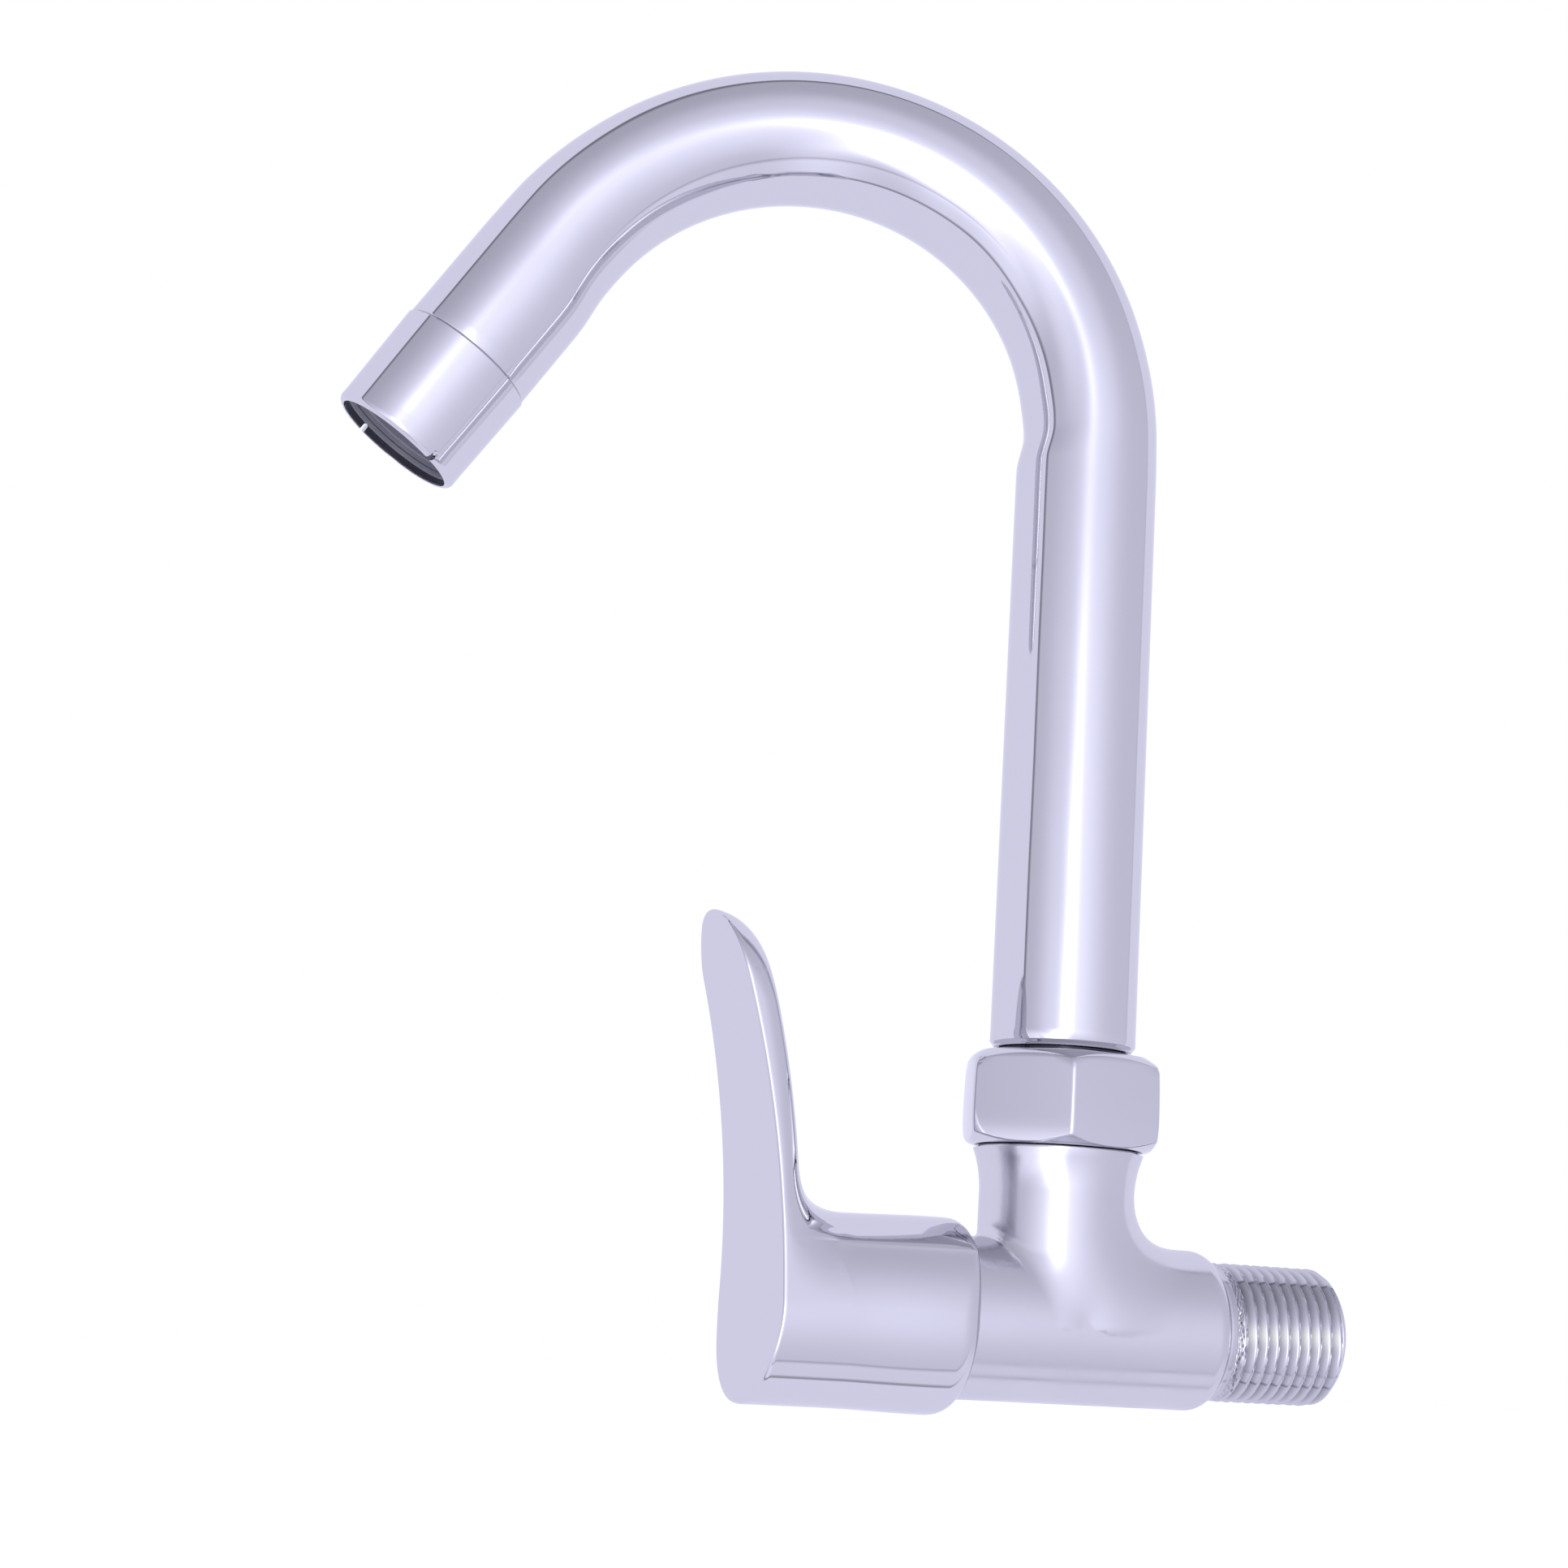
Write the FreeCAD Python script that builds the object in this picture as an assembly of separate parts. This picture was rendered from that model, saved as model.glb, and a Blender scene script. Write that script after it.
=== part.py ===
import FreeCAD, Part
import math
import os

# Swan neck wall tap: a quarter turn lever, a tee body and a spout that swings.
# Millimetres. +X runs along the inlet axis into the wall and +Z is up the riser.
# The origin is on the inlet axis where the thread starts. The lever is at -X.

# Inlet thread, G 1/2 parallel, drawn as a plain cylinder at its crest
thread_d = 20.955
thread_length = 20.0
thread_chamfer = 1.2
inlet_bore_d = 14.0
bore_mouth_chamfer = 0.8

# Barrel of the body, along the inlet axis
riser_to_wall = 25.4
barrel_front = 19.0
barrel_wall = 1.55
shoulder_round = 3.0
seat_depth = 9.0
chamber_d = 20.0

# Neck of the body, up the riser axis
neck_waist_d = 23.4
neck_flare_d = 25.8
neck_waist_top = 19.0
neck_flare_height = 6.4
neck_thread_d = 24.0
neck_thread_height = 7.2
neck_bore_d = 18.0
crotch_round_lever = 4.0
crotch_round_wall = 6.5

# Nut that clamps the spout to the neck
nut_wall = 2.2
nut_foot_inset = 1.1
nut_foot_angle = 30.0
nut_foot_gap = 0.3
nut_top_round = 3.0
nut_lip = 3.4
nut_turn = -108.9
nut_thread_clearance = 0.05
nut_hole_clearance = 0.4

# Washers of the swivel
swivel_washer_t = 0.8
swivel_clearance = 0.03
washer_edge_clearance = 0.4

# Shank of the spout, which turns in the neck on two rubber rings
shank_length = 17.6
shank_clearance = 0.1
shank_bore_d = 12.0
shank_flange_t = 2.4
shank_flange_overhang = 1.3
shank_stem_d = 19.4
shank_spigot_length = 8.0
shank_ring_wire = 1.8
shank_ring_squeeze = 0.05
shank_ring_first = 3.6
shank_ring_step = 5.4

# Spout tube, swept in one upright plane
tube_d = 22.2
tube_wall = 1.1
tube_foot_gap = 0.95
riser_length = 97.1
bend_radius = 46.6
bend_angle = 146.15
bend_flattening = 1.3
bend_widening = 0.7
bend_ease = 6.0
tail_length = 25.1
spout_swing = -15.8
braze_gap = 0.05

# Outlet at the end of the tail
collar_proud = 0.25
collar_wall = 1.4
collar_length = 17.9
collar_seam_chamfer = 0.25
collar_mouth_round = 1.0
mouth_depth = 2.8
ledge_t = 1.3
ledge_inset = 1.15
outlet_thread_length = 5.5
outlet_bush_wall = 1.95
outlet_bush_grip = 10.0
notch_width = 1.5
notch_depth = 1.3
notch_turn = 45.0
aerator_washer_t = 1.65
aerator_wall = 2.0
aerator_ledge_t = 0.85
aerator_ledge = 0.6
diffuser_t = 1.2
diffuser_rim = 0.9
diffuser_hole_d = 1.6
diffuser_ring_r = 4.8
diffuser_holes = 8
screen_t = 0.5
screen_gap = 0.5
screen_pitch = 2.6
screen_hole = 1.9
screen_rim = 0.5
part_clearance = 0.05

# Cartridge, from the seat towards the lever
cartridge_thread_d = 20.8
cartridge_thread_length = 10.0
seat_washer_t = 2.6
seat_washer_hole_d = 11.2
cage_gap = 1.6
cage_wall = 0.95
disc_d = 15.6
disc_t = 2.8
disc_clearance = 0.1
disc_lug_width = 3.0
disc_lug = 0.7
lap_clearance = 0.02
port_inner_d = 3.6
port_outer_d = 12.0
port_angle = 76.0
window_width = 9.0
window_length = 6.5
gasket_t = 0.8
flange_t = 1.5
flange_overhang = 1.2
hex_across_flats = 17.0
hex_length = 5.7
nose_d = 14.4
nose_length = 1.0
stop_height = 2.0
stop_angle = 180.0
stop_free_angle = 1.0
lever_travel = 90.0

# Spindle
driver_width = 5.0
driver_t = 2.4
drive_tab_depth = 1.5
drive_tab_width = 3.0
drive_tab_length = 1.2
spindle_root_d = 6.4
spindle_root_length = 3.6
spindle_collar_d = 13.2
spindle_collar_t = 1.0
slip_washer_t = 0.8
spindle_d = 8.84
spindle_clearance = 0.08
spindle_ring_wire = 1.28
spindle_ring_squeeze = 0.05
spindle_ring_first = 4.0
spindle_ring_step = 4.2
stop_ring_t = 1.0
clip_t = 0.8
clip_d = 11.6
clip_groove_d = 7.0
clip_gap_angle = 60.0
spline_d = 7.9
spline_root_d = 7.1
spline_teeth = 20
spline_clearance = 0.06
spline_length = 9.6

# Lever: a hub over the cartridge and a paddle that leans forward
skirt_lap = 4.0
skirt_clearance = 0.3
hub_wall = 2.15
hub_draft = 0.35
hub_back_round = 3.0
boss_gap = 0.3
socket_length = 10.0
face_wall = 6.1
paddle_height = 56.8
paddle_tip_r = 10.1
paddle_waist_height = 24.5
paddle_waist_half = 11.95
paddle_t = 5.0
paddle_crown_r = 30.0
lean_radius = 165.0
paddle_root_round = 5.5
face_edge_round = 0.6
paddle_spread = 16.0
grub_d = 4.2
grub_length = 6.0
grub_turn = -60.0
grub_place = 4.5
grub_socket = 2.4
grub_socket_depth = 2.4
grub_clearance = 0.05

# Places worked out from the sizes, along X from the start of the thread
riser_x = -riser_to_wall
front_x = riser_x - barrel_front
seat_x = riser_x + seat_depth
chamber_front_x = front_x + cartridge_thread_length
fixed_disc_x = seat_x - seat_washer_t
lap_x = fixed_disc_x - disc_t
moving_disc_x = lap_x - lap_clearance
driver_x = moving_disc_x - disc_t - lap_clearance
root_x = driver_x - driver_t
collar_x = root_x - spindle_root_length
slip_x = collar_x - spindle_collar_t
cage_shoulder_x = slip_x - slip_washer_t
cage_end_x = seat_x - cage_gap
flange_x = front_x - gasket_t
hex_x = flange_x - flange_t
nose_x = hex_x - hex_length
stop_x = nose_x - nose_length
stop_ring_x = stop_x - stop_height - disc_clearance
clip_x = stop_ring_x - stop_ring_t
boss_x = clip_x - clip_t - boss_gap
socket_end_x = boss_x - socket_length
face_x = socket_end_x - face_wall
skirt_x = front_x + skirt_lap
grub_x = boss_x - grub_place

# Radii worked out from the sizes
thread_r = thread_d / 2
cartridge_thread_r = cartridge_thread_d / 2
cartridge_bore_r = cartridge_thread_r + part_clearance
barrel_r = cartridge_bore_r + barrel_wall
disc_r = disc_d / 2
disc_bore_r = disc_r + disc_clearance
cage_r = disc_bore_r + cage_wall
flange_r = cartridge_thread_r + flange_overhang
stem_r = spindle_d / 2
stem_bore_r = stem_r + spindle_clearance
nose_r = nose_d / 2
skirt_r = barrel_r + skirt_clearance
hub_back_r = skirt_r + hub_wall
hub_front_r = hub_back_r - hub_draft
neck_bore_r = neck_bore_d / 2
shank_r = neck_bore_r - shank_clearance
tube_r = tube_d / 2
tube_bore_r = tube_r - tube_wall
bend_flattened_d = tube_d - bend_flattening
bend_widened_d = tube_d + bend_widening
spigot_r = tube_bore_r - braze_gap
nut_hole_r = shank_stem_d / 2 + nut_hole_clearance
nut_thread_r = neck_thread_d / 2 + nut_thread_clearance
nut_half = neck_thread_d / 2 + nut_wall
nut_foot_r = nut_half - nut_foot_inset
flange_disc_r = nut_hole_r + shank_flange_overhang
washer_r = nut_thread_r - washer_edge_clearance

# Heights worked out from the sizes, above the inlet axis
neck_flare_top = neck_waist_top + neck_flare_height
neck_top = neck_flare_top + neck_thread_height
shank_flange_z = neck_top + swivel_washer_t + swivel_clearance
upper_washer_z = shank_flange_z + shank_flange_t + swivel_clearance
nut_lip_z = upper_washer_z + swivel_washer_t
nut_foot_z = neck_flare_top + nut_foot_gap
nut_top_z = nut_lip_z + nut_lip
tube_foot_z = nut_top_z + tube_foot_gap
bend_z = tube_foot_z + riser_length

# Places along the outlet's own axis, from the seam of the collar
collar_r = tube_r + collar_proud
outlet_bore_r = collar_r - collar_wall
outlet_thread_r = outlet_bore_r - part_clearance
outlet_bush_bore_r = spigot_r - outlet_bush_wall
ledge_s = collar_length - mouth_depth - ledge_t
aerator_r = outlet_bore_r - part_clearance
aerator_bore_r = aerator_r - aerator_wall
aerator_washer_s = outlet_thread_length + part_clearance
aerator_s = aerator_washer_s + aerator_washer_t
aerator_ledge_s = ledge_s - aerator_ledge_t
lower_screen_s = aerator_ledge_s - screen_t
upper_screen_s = lower_screen_s - screen_gap - screen_t
diffuser_r = aerator_bore_r + diffuser_rim
diffuser_s = aerator_s + part_clearance

ORIGIN = FreeCAD.Vector(0, 0, 0)
X_AXIS = FreeCAD.Vector(1, 0, 0)
Y_AXIS = FreeCAD.Vector(0, 1, 0)
Z_AXIS = FreeCAD.Vector(0, 0, 1)
FAR = 400.0
CUT_PAST = 1.0
TINY = 0.001


def vec(x, y, z):
    """A point or direction."""
    return FreeCAD.Vector(x, y, z)


def polar(radius, degrees):
    """The two coordinates of a point on a circle."""
    angle = math.radians(degrees)
    return radius * math.cos(angle), radius * math.sin(angle)


def outline(*steps):
    """A closed face. A step is the end of a line, or the (middle, end) of an arc."""
    edges = []
    here = steps[0]
    for step in steps[1:]:
        if isinstance(step, tuple):
            middle, end = step
            edges.append(Part.Arc(here, middle, end).toShape())
        else:
            end = step
            edges.append(Part.makeLine(here, end))
        here = end
    if (here - steps[0]).Length > TINY:
        edges.append(Part.makeLine(here, steps[0]))
    return Part.Face(Part.Wire(edges))


def turned(axis, *steps):
    """A solid of revolution. Its outline lies in the plane y = 0."""
    return outline(*steps).revolve(ORIGIN, axis, 360)


def rod_x(x_wall, x_lever, radius):
    """A round bar along the inlet axis between two places."""
    return Part.makeCylinder(radius, x_wall - x_lever, vec(x_lever, 0, 0), X_AXIS)


def tube_x(x_wall, x_lever, outer, inner):
    """A round sleeve along the inlet axis."""
    return rod_x(x_wall, x_lever, outer).cut(rod_x(x_wall, x_lever, inner))


def tube_z(low, high, outer, inner):
    """A round sleeve along the Z axis of its own frame."""
    ring = Part.makeCylinder(outer, high - low, vec(0, 0, low), Z_AXIS)
    return ring.cut(Part.makeCylinder(inner, high - low, vec(0, 0, low), Z_AXIS))


def sector_x(x_wall, x_lever, inner, outer, start, sweep):
    """Part of a ring round the inlet axis, in degrees from +Y towards +Z."""
    face = outline(vec(x_lever, inner, 0), vec(x_wall, inner, 0),
                   vec(x_wall, outer, 0), vec(x_lever, outer, 0))
    ring = face.revolve(ORIGIN, X_AXIS, sweep)
    ring.rotate(ORIGIN, X_AXIS, start)
    return ring


def box_x(x_wall, x_lever, y_half, z_low, z_high):
    """A block along the inlet axis, even about y = 0."""
    size = (x_wall - x_lever, 2 * y_half, z_high - z_low)
    return Part.makeBox(*size, vec(x_lever, -y_half, z_low))


def polygon_prism(points, direction):
    """A straight prism on a flat polygon."""
    return Part.Face(Part.makePolygon(points + points[:1])).extrude(direction)


def to_riser(shape):
    """Moves a piece from the riser's own frame to its place."""
    shape.translate(vec(riser_x, 0, 0))
    return shape


def to_spout(shape):
    """Swings a piece round the riser axis with the spout, and places it."""
    shape.rotate(ORIGIN, Z_AXIS, spout_swing)
    return to_riser(shape)


def to_outlet(shape):
    """Moves a piece from the outlet's own frame, down the tail, to its place."""
    turn = math.radians(bend_angle)
    down_x = -math.sin(turn)
    down_z = math.cos(turn)
    seam_x = -bend_radius * (1 - math.cos(turn)) + down_x * tail_length
    seam_z = bend_z + bend_radius * math.sin(turn) + down_z * tail_length
    shape.rotate(ORIGIN, Y_AXIS, -bend_angle)
    shape.translate(vec(seam_x, 0, seam_z))
    return to_spout(shape)


def one_solid(shape):
    """The single solid of a result, without the seams that joining leaves."""
    clean = shape.removeSplitter()
    return clean.Solids[0] if len(clean.Solids) == 1 else clean


def barrel_blank():
    """Outside of the barrel with its round shoulder and the inlet thread."""
    rise = thread_r - (barrel_r - shoulder_round)
    end_x = -shoulder_round + math.sqrt(shoulder_round ** 2 - rise ** 2)
    middle = (math.degrees(math.asin(rise / shoulder_round)) + 90) / 2
    middle_x, middle_r = polar(shoulder_round, middle)
    arc_middle = vec(middle_x - shoulder_round, 0, middle_r + barrel_r - shoulder_round)
    return turned(X_AXIS, vec(front_x, 0, 0), vec(front_x, 0, barrel_r),
                  vec(-shoulder_round, 0, barrel_r), (arc_middle, vec(end_x, 0, thread_r)),
                  vec(thread_length - thread_chamfer, 0, thread_r),
                  vec(thread_length, 0, thread_r - thread_chamfer), vec(thread_length, 0, 0))


def neck_blank():
    """Outside of the neck: a waist, a flare under the nut, and the nut's thread."""
    waist = neck_waist_d / 2
    flare = neck_flare_d / 2
    thread = neck_thread_d / 2
    flare_round = (neck_flare_height ** 2 + (flare - waist) ** 2) / (2 * (flare - waist))
    middle_z = neck_waist_top + neck_flare_height / 2
    middle_r = waist + flare_round - math.sqrt(flare_round ** 2 - (neck_flare_height / 2) ** 2)
    return to_riser(turned(
        Z_AXIS, vec(0, 0, 0), vec(waist, 0, 0), vec(waist, 0, neck_waist_top),
        (vec(middle_r, 0, middle_z), vec(flare, 0, neck_flare_top)),
        vec(thread, 0, neck_flare_top), vec(thread, 0, neck_top), vec(0, 0, neck_top)))


def on_both(edge):
    """Whether an edge is where the barrel and the neck's waist meet."""
    middle = edge.valueAt((edge.FirstParameter + edge.LastParameter) / 2)
    near_barrel = abs(math.hypot(middle.y, middle.z) - barrel_r) < 0.01
    near_neck = abs(math.hypot(middle.x - riser_x, middle.y) - neck_waist_d / 2) < 0.01
    return near_barrel and near_neck


def body_blank():
    """The tee with its crotch rounded, tighter beside the lever than at the wall."""
    tee = barrel_blank().fuse(neck_blank())
    half = tee.common(Part.makeBox(2 * FAR, FAR, 2 * FAR, vec(-FAR, -FAR, -FAR)))
    crotch = [edge for edge in half.Edges if on_both(edge)][0]
    starts_at_lever = crotch.valueAt(crotch.FirstParameter).x < riser_x
    rounds = (crotch_round_lever, crotch_round_wall)
    first, last = rounds if starts_at_lever else rounds[::-1]
    rounded = half.makeFillet(first, last, [crotch])
    return rounded.fuse(rounded.mirror(ORIGIN, Y_AXIS))


def valve_body():
    """Cast tee: inlet, seat, chamber round the cartridge, and the neck's bore."""
    inlet_r = inlet_bore_d / 2
    mouth_x = thread_length - bore_mouth_chamfer
    waterway = turned(
        X_AXIS, vec(front_x - CUT_PAST, 0, 0), vec(front_x - CUT_PAST, 0, cartridge_bore_r),
        vec(chamber_front_x, 0, cartridge_bore_r), vec(chamber_front_x, 0, chamber_d / 2),
        vec(seat_x, 0, chamber_d / 2), vec(seat_x, 0, inlet_r), vec(mouth_x, 0, inlet_r),
        vec(thread_length, 0, inlet_r + bore_mouth_chamfer),
        vec(thread_length + CUT_PAST, 0, inlet_r + bore_mouth_chamfer),
        vec(thread_length + CUT_PAST, 0, 0))
    neck_bore = to_riser(Part.makeCylinder(neck_bore_r, neck_top + CUT_PAST))
    return one_solid(body_blank().cut(waterway.fuse(neck_bore)))


def nut_flat_pair(turn):
    """An endless bar with two of the nut's flats, rounded at its top corners."""
    shoulder = nut_top_z - nut_top_round
    inset = nut_half - nut_top_round
    side, rise = polar(nut_top_round, 45)
    bar = outline(
        vec(-nut_half, -FAR, nut_foot_z), vec(nut_half, -FAR, nut_foot_z),
        vec(nut_half, -FAR, shoulder),
        (vec(inset + side, -FAR, shoulder + rise), vec(inset, -FAR, nut_top_z)),
        vec(-inset, -FAR, nut_top_z),
        (vec(-inset - side, -FAR, shoulder + rise), vec(-nut_half, -FAR, shoulder))
    ).extrude(vec(0, 2 * FAR, 0))
    bar.rotate(ORIGIN, Z_AXIS, turn + 30)
    return bar


def swivel_nut():
    """Hexagon nut with pillowed top edges, a conical foot chamfer and a top lip."""
    nut = nut_flat_pair(nut_turn)
    for turn in (60, 120):
        nut = nut.common(nut_flat_pair(nut_turn + turn))
    reach = 2 * nut_half
    climb = (reach - nut_foot_r) * math.tan(math.radians(nut_foot_angle))
    envelope = turned(Z_AXIS, vec(0, 0, nut_foot_z), vec(nut_foot_r, 0, nut_foot_z),
                      vec(reach, 0, nut_foot_z + climb), vec(reach, 0, FAR),
                      vec(0, 0, FAR))
    bore = turned(Z_AXIS, vec(0, 0, nut_foot_z - CUT_PAST), vec(nut_thread_r, 0, nut_foot_z - CUT_PAST),
                  vec(nut_thread_r, 0, nut_lip_z), vec(nut_hole_r, 0, nut_lip_z),
                  vec(nut_hole_r, 0, nut_top_z + CUT_PAST), vec(0, 0, nut_top_z + CUT_PAST))
    return to_riser(one_solid(nut.common(envelope).cut(bore)))


def lower_swivel_washer():
    """Slippery washer on the neck's top edge, under the shank's flange."""
    return to_riser(tube_z(neck_top, neck_top + swivel_washer_t, washer_r,
                           shank_r + washer_edge_clearance))


def upper_swivel_washer():
    """Slippery washer between the shank's flange and the nut's lip."""
    return to_riser(tube_z(upper_washer_z, nut_lip_z, washer_r, nut_hole_r))


def shank_ring_height(index):
    """Height of the middle of one of the shank's rubber rings."""
    return neck_top - shank_length + shank_ring_first + index * shank_ring_step


def spout_shank():
    """Turned shank: nipple with ring grooves, flange, stem and the tube's spigot."""
    stem_r_z = shank_stem_d / 2
    foot = neck_top - shank_length
    spigot_top = tube_foot_z + shank_spigot_length
    shank = turned(
        Z_AXIS, vec(0, 0, foot), vec(shank_r, 0, foot), vec(shank_r, 0, shank_flange_z),
        vec(flange_disc_r, 0, shank_flange_z),
        vec(flange_disc_r, 0, shank_flange_z + shank_flange_t),
        vec(stem_r_z, 0, shank_flange_z + shank_flange_t), vec(stem_r_z, 0, tube_foot_z),
        vec(spigot_r, 0, tube_foot_z), vec(spigot_r, 0, spigot_top), vec(0, 0, spigot_top))
    shank = shank.cut(Part.makeCylinder(shank_bore_d / 2, FAR))
    half_groove = shank_ring_wire / 2 + part_clearance
    groove_r = neck_bore_r - shank_ring_squeeze - shank_ring_wire - part_clearance
    for index in range(2):
        middle = shank_ring_height(index)
        shank = shank.cut(tube_z(middle - half_groove, middle + half_groove, FAR, groove_r))
    return to_riser(one_solid(shank))


def shank_ring(index):
    """Square-cut rubber ring in a groove of the shank."""
    middle = shank_ring_height(index)
    half = shank_ring_wire / 2
    outer = neck_bore_r - shank_ring_squeeze
    return to_riser(tube_z(middle - half, middle + half, outer, outer - shank_ring_wire))


def tube_section(inset, in_plane, across):
    """Oval edge of the tube in the XY plane, drawn with four arcs that blend."""
    side = across / 2 - inset
    front = in_plane / 2 - inset
    slant = math.sqrt(0.5)
    tight_r = (side + front - side / slant) / (2 - 1 / slant)
    joint_x = tight_r * slant
    joint_y = side - tight_r + joint_x
    left = Part.Arc(vec(joint_x, joint_y, 0), vec(0, side, 0), vec(-joint_x, joint_y, 0))
    back = Part.Arc(vec(-joint_x, joint_y, 0), vec(-front, 0, 0), vec(-joint_x, -joint_y, 0))
    right = Part.Arc(vec(-joint_x, -joint_y, 0), vec(0, -side, 0), vec(joint_x, -joint_y, 0))
    fore = Part.Arc(vec(joint_x, -joint_y, 0), vec(front, 0, 0), vec(joint_x, joint_y, 0))
    return Part.Wire([arc.toShape() for arc in (left, back, right, fore)])


def tail_frame(shape):
    """Moves a piece from the foot of the bend to its end."""
    shape.rotate(vec(-bend_radius, 0, 0), Y_AXIS, -bend_angle)
    return shape


def eased(round_z, oval_z, inset):
    """Stretch of tube that changes from round to oval."""
    round_wire = tube_section(inset, tube_d, tube_d)
    oval_wire = tube_section(inset, bend_flattened_d, bend_widened_d)
    round_wire.translate(vec(0, 0, round_z))
    oval_wire.translate(vec(0, 0, oval_z))
    return Part.makeLoft([round_wire, oval_wire], True, True)


def tube_core(inset):
    """Solid swan neck, made smaller all round by the inset."""
    radius = tube_r - inset
    riser = Part.makeCylinder(radius, riser_length - bend_ease, vec(0, 0, -riser_length))
    oval = Part.Face(tube_section(inset, bend_flattened_d, bend_widened_d))
    bend = oval.revolve(vec(-bend_radius, 0, 0), -Y_AXIS, bend_angle)
    tail_ease = tail_frame(eased(bend_ease, 0, inset))
    tail = tail_frame(Part.makeCylinder(radius, tail_length - bend_ease, vec(0, 0, bend_ease)))
    return riser.fuse([eased(-bend_ease, 0, inset), bend, tail_ease, tail])


def spout_tube():
    """Bent tube, flattened a little where it bends."""
    tube = tube_core(0).cut(tube_core(tube_wall))
    tube.translate(vec(0, 0, bend_z))
    return to_spout(one_solid(tube))


def outlet_bush():
    """Threaded bush brazed into the end of the tube."""
    bush = tube_z(-outlet_bush_grip, 0, spigot_r, outlet_bush_bore_r)
    thread = tube_z(0, outlet_thread_length, outlet_thread_r, outlet_bush_bore_r)
    return to_outlet(one_solid(bush.fuse(thread)))


def key_notch(turn):
    """Round-ended slot across the collar's rim, for a spanner key."""
    half = notch_width / 2
    middle_s = collar_length - notch_depth + half
    slot = Part.makeCylinder(half, FAR, vec(0, 0, middle_s), X_AXIS)
    slot = slot.fuse(Part.makeBox(FAR, notch_width, FAR, vec(0, -half, middle_s)))
    slot.rotate(ORIGIN, Z_AXIS, turn)
    return slot


def aerator_shell():
    """Collar that screws on the bush and holds the aerator on a ledge."""
    seam_r = collar_r - collar_seam_chamfer
    rim_s = collar_length - collar_mouth_round
    side, rise = polar(collar_mouth_round, 45)
    rim_r = collar_r - collar_mouth_round
    ledge_r = outlet_bore_r - ledge_inset
    shell = turned(
        Z_AXIS, vec(outlet_bore_r, 0, 0), vec(seam_r, 0, 0), vec(collar_r, 0, collar_seam_chamfer),
        vec(collar_r, 0, rim_s), (vec(rim_r + side, 0, rim_s + rise), vec(rim_r, 0, collar_length)),
        vec(outlet_bore_r, 0, collar_length), vec(outlet_bore_r, 0, ledge_s + ledge_t),
        vec(ledge_r, 0, ledge_s + ledge_t), vec(ledge_r, 0, ledge_s), vec(outlet_bore_r, 0, ledge_s))
    for turn in (notch_turn, notch_turn + 180):
        shell = shell.cut(key_notch(turn))
    return to_outlet(one_solid(shell))


def aerator_washer():
    """Flat rubber washer between the bush and the aerator."""
    return to_outlet(tube_z(aerator_washer_s, aerator_s, aerator_r, aerator_bore_r))


def aerator_housing():
    """Moulded cup of the aerator, stepped for the diffuser and the screens."""
    ledge_hole = aerator_bore_r - aerator_ledge
    step_s = diffuser_s + diffuser_t
    cup = turned(
        Z_AXIS, vec(diffuser_r + part_clearance, 0, aerator_s), vec(aerator_r, 0, aerator_s),
        vec(aerator_r, 0, ledge_s), vec(ledge_hole, 0, ledge_s), vec(ledge_hole, 0, aerator_ledge_s),
        vec(aerator_bore_r, 0, aerator_ledge_s), vec(aerator_bore_r, 0, step_s),
        vec(diffuser_r + part_clearance, 0, step_s))
    return to_outlet(cup)


def diffuser():
    """Plate with a ring of small holes that breaks up the stream."""
    plate = Part.makeCylinder(diffuser_r, diffuser_t, vec(0, 0, diffuser_s))
    for index in range(diffuser_holes):
        x, y = polar(diffuser_ring_r, 360.0 * index / diffuser_holes)
        plate = plate.cut(Part.makeCylinder(diffuser_hole_d / 2, FAR, vec(x, y, 0)))
    return to_outlet(plate)


def screen(low):
    """Coarse stand-in for a woven screen: a disc with square gaps."""
    radius = aerator_bore_r - part_clearance
    limit = radius - screen_rim
    half = screen_hole / 2
    steps = int(limit / screen_pitch) + 1
    gaps = []
    for column in range(-steps, steps + 1):
        for row in range(-steps, steps + 1):
            x = column * screen_pitch
            y = row * screen_pitch
            if math.hypot(abs(x) + half, abs(y) + half) < limit:
                gaps.append(Part.makeBox(screen_hole, screen_hole, FAR, vec(x - half, y - half, 0)))
    disc = Part.makeCylinder(radius, screen_t, vec(0, 0, low))
    return to_outlet(disc.cut(Part.makeCompound(gaps)))


def seat_washer():
    """Rubber washer between the body's seat and the fixed disc."""
    return tube_x(seat_x, fixed_disc_x, disc_r, seat_washer_hole_d / 2)


def ported_disc(x_wall, port_middle):
    """Ceramic disc with two ports, one either side of the middle."""
    disc = rod_x(x_wall, x_wall - disc_t, disc_r)
    for turn in (port_middle, port_middle + 180):
        start = turn - port_angle / 2
        disc = disc.cut(sector_x(x_wall + CUT_PAST, x_wall - disc_t - CUT_PAST,
                                 port_inner_d / 2, port_outer_d / 2, start, port_angle))
    return disc


def fixed_disc():
    """Ceramic disc keyed into the cage by two lugs, with its ports up and down."""
    disc = ported_disc(fixed_disc_x, 90)
    half = disc_lug_width / 2
    bar = Part.makeBox(disc_t, 2 * (disc_r + disc_lug), disc_lug_width,
                       vec(lap_x, -disc_r - disc_lug, -half))
    lugs = bar.cut(rod_x(fixed_disc_x, lap_x, disc_r - disc_lug))
    return one_solid(disc.fuse(lugs))


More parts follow.
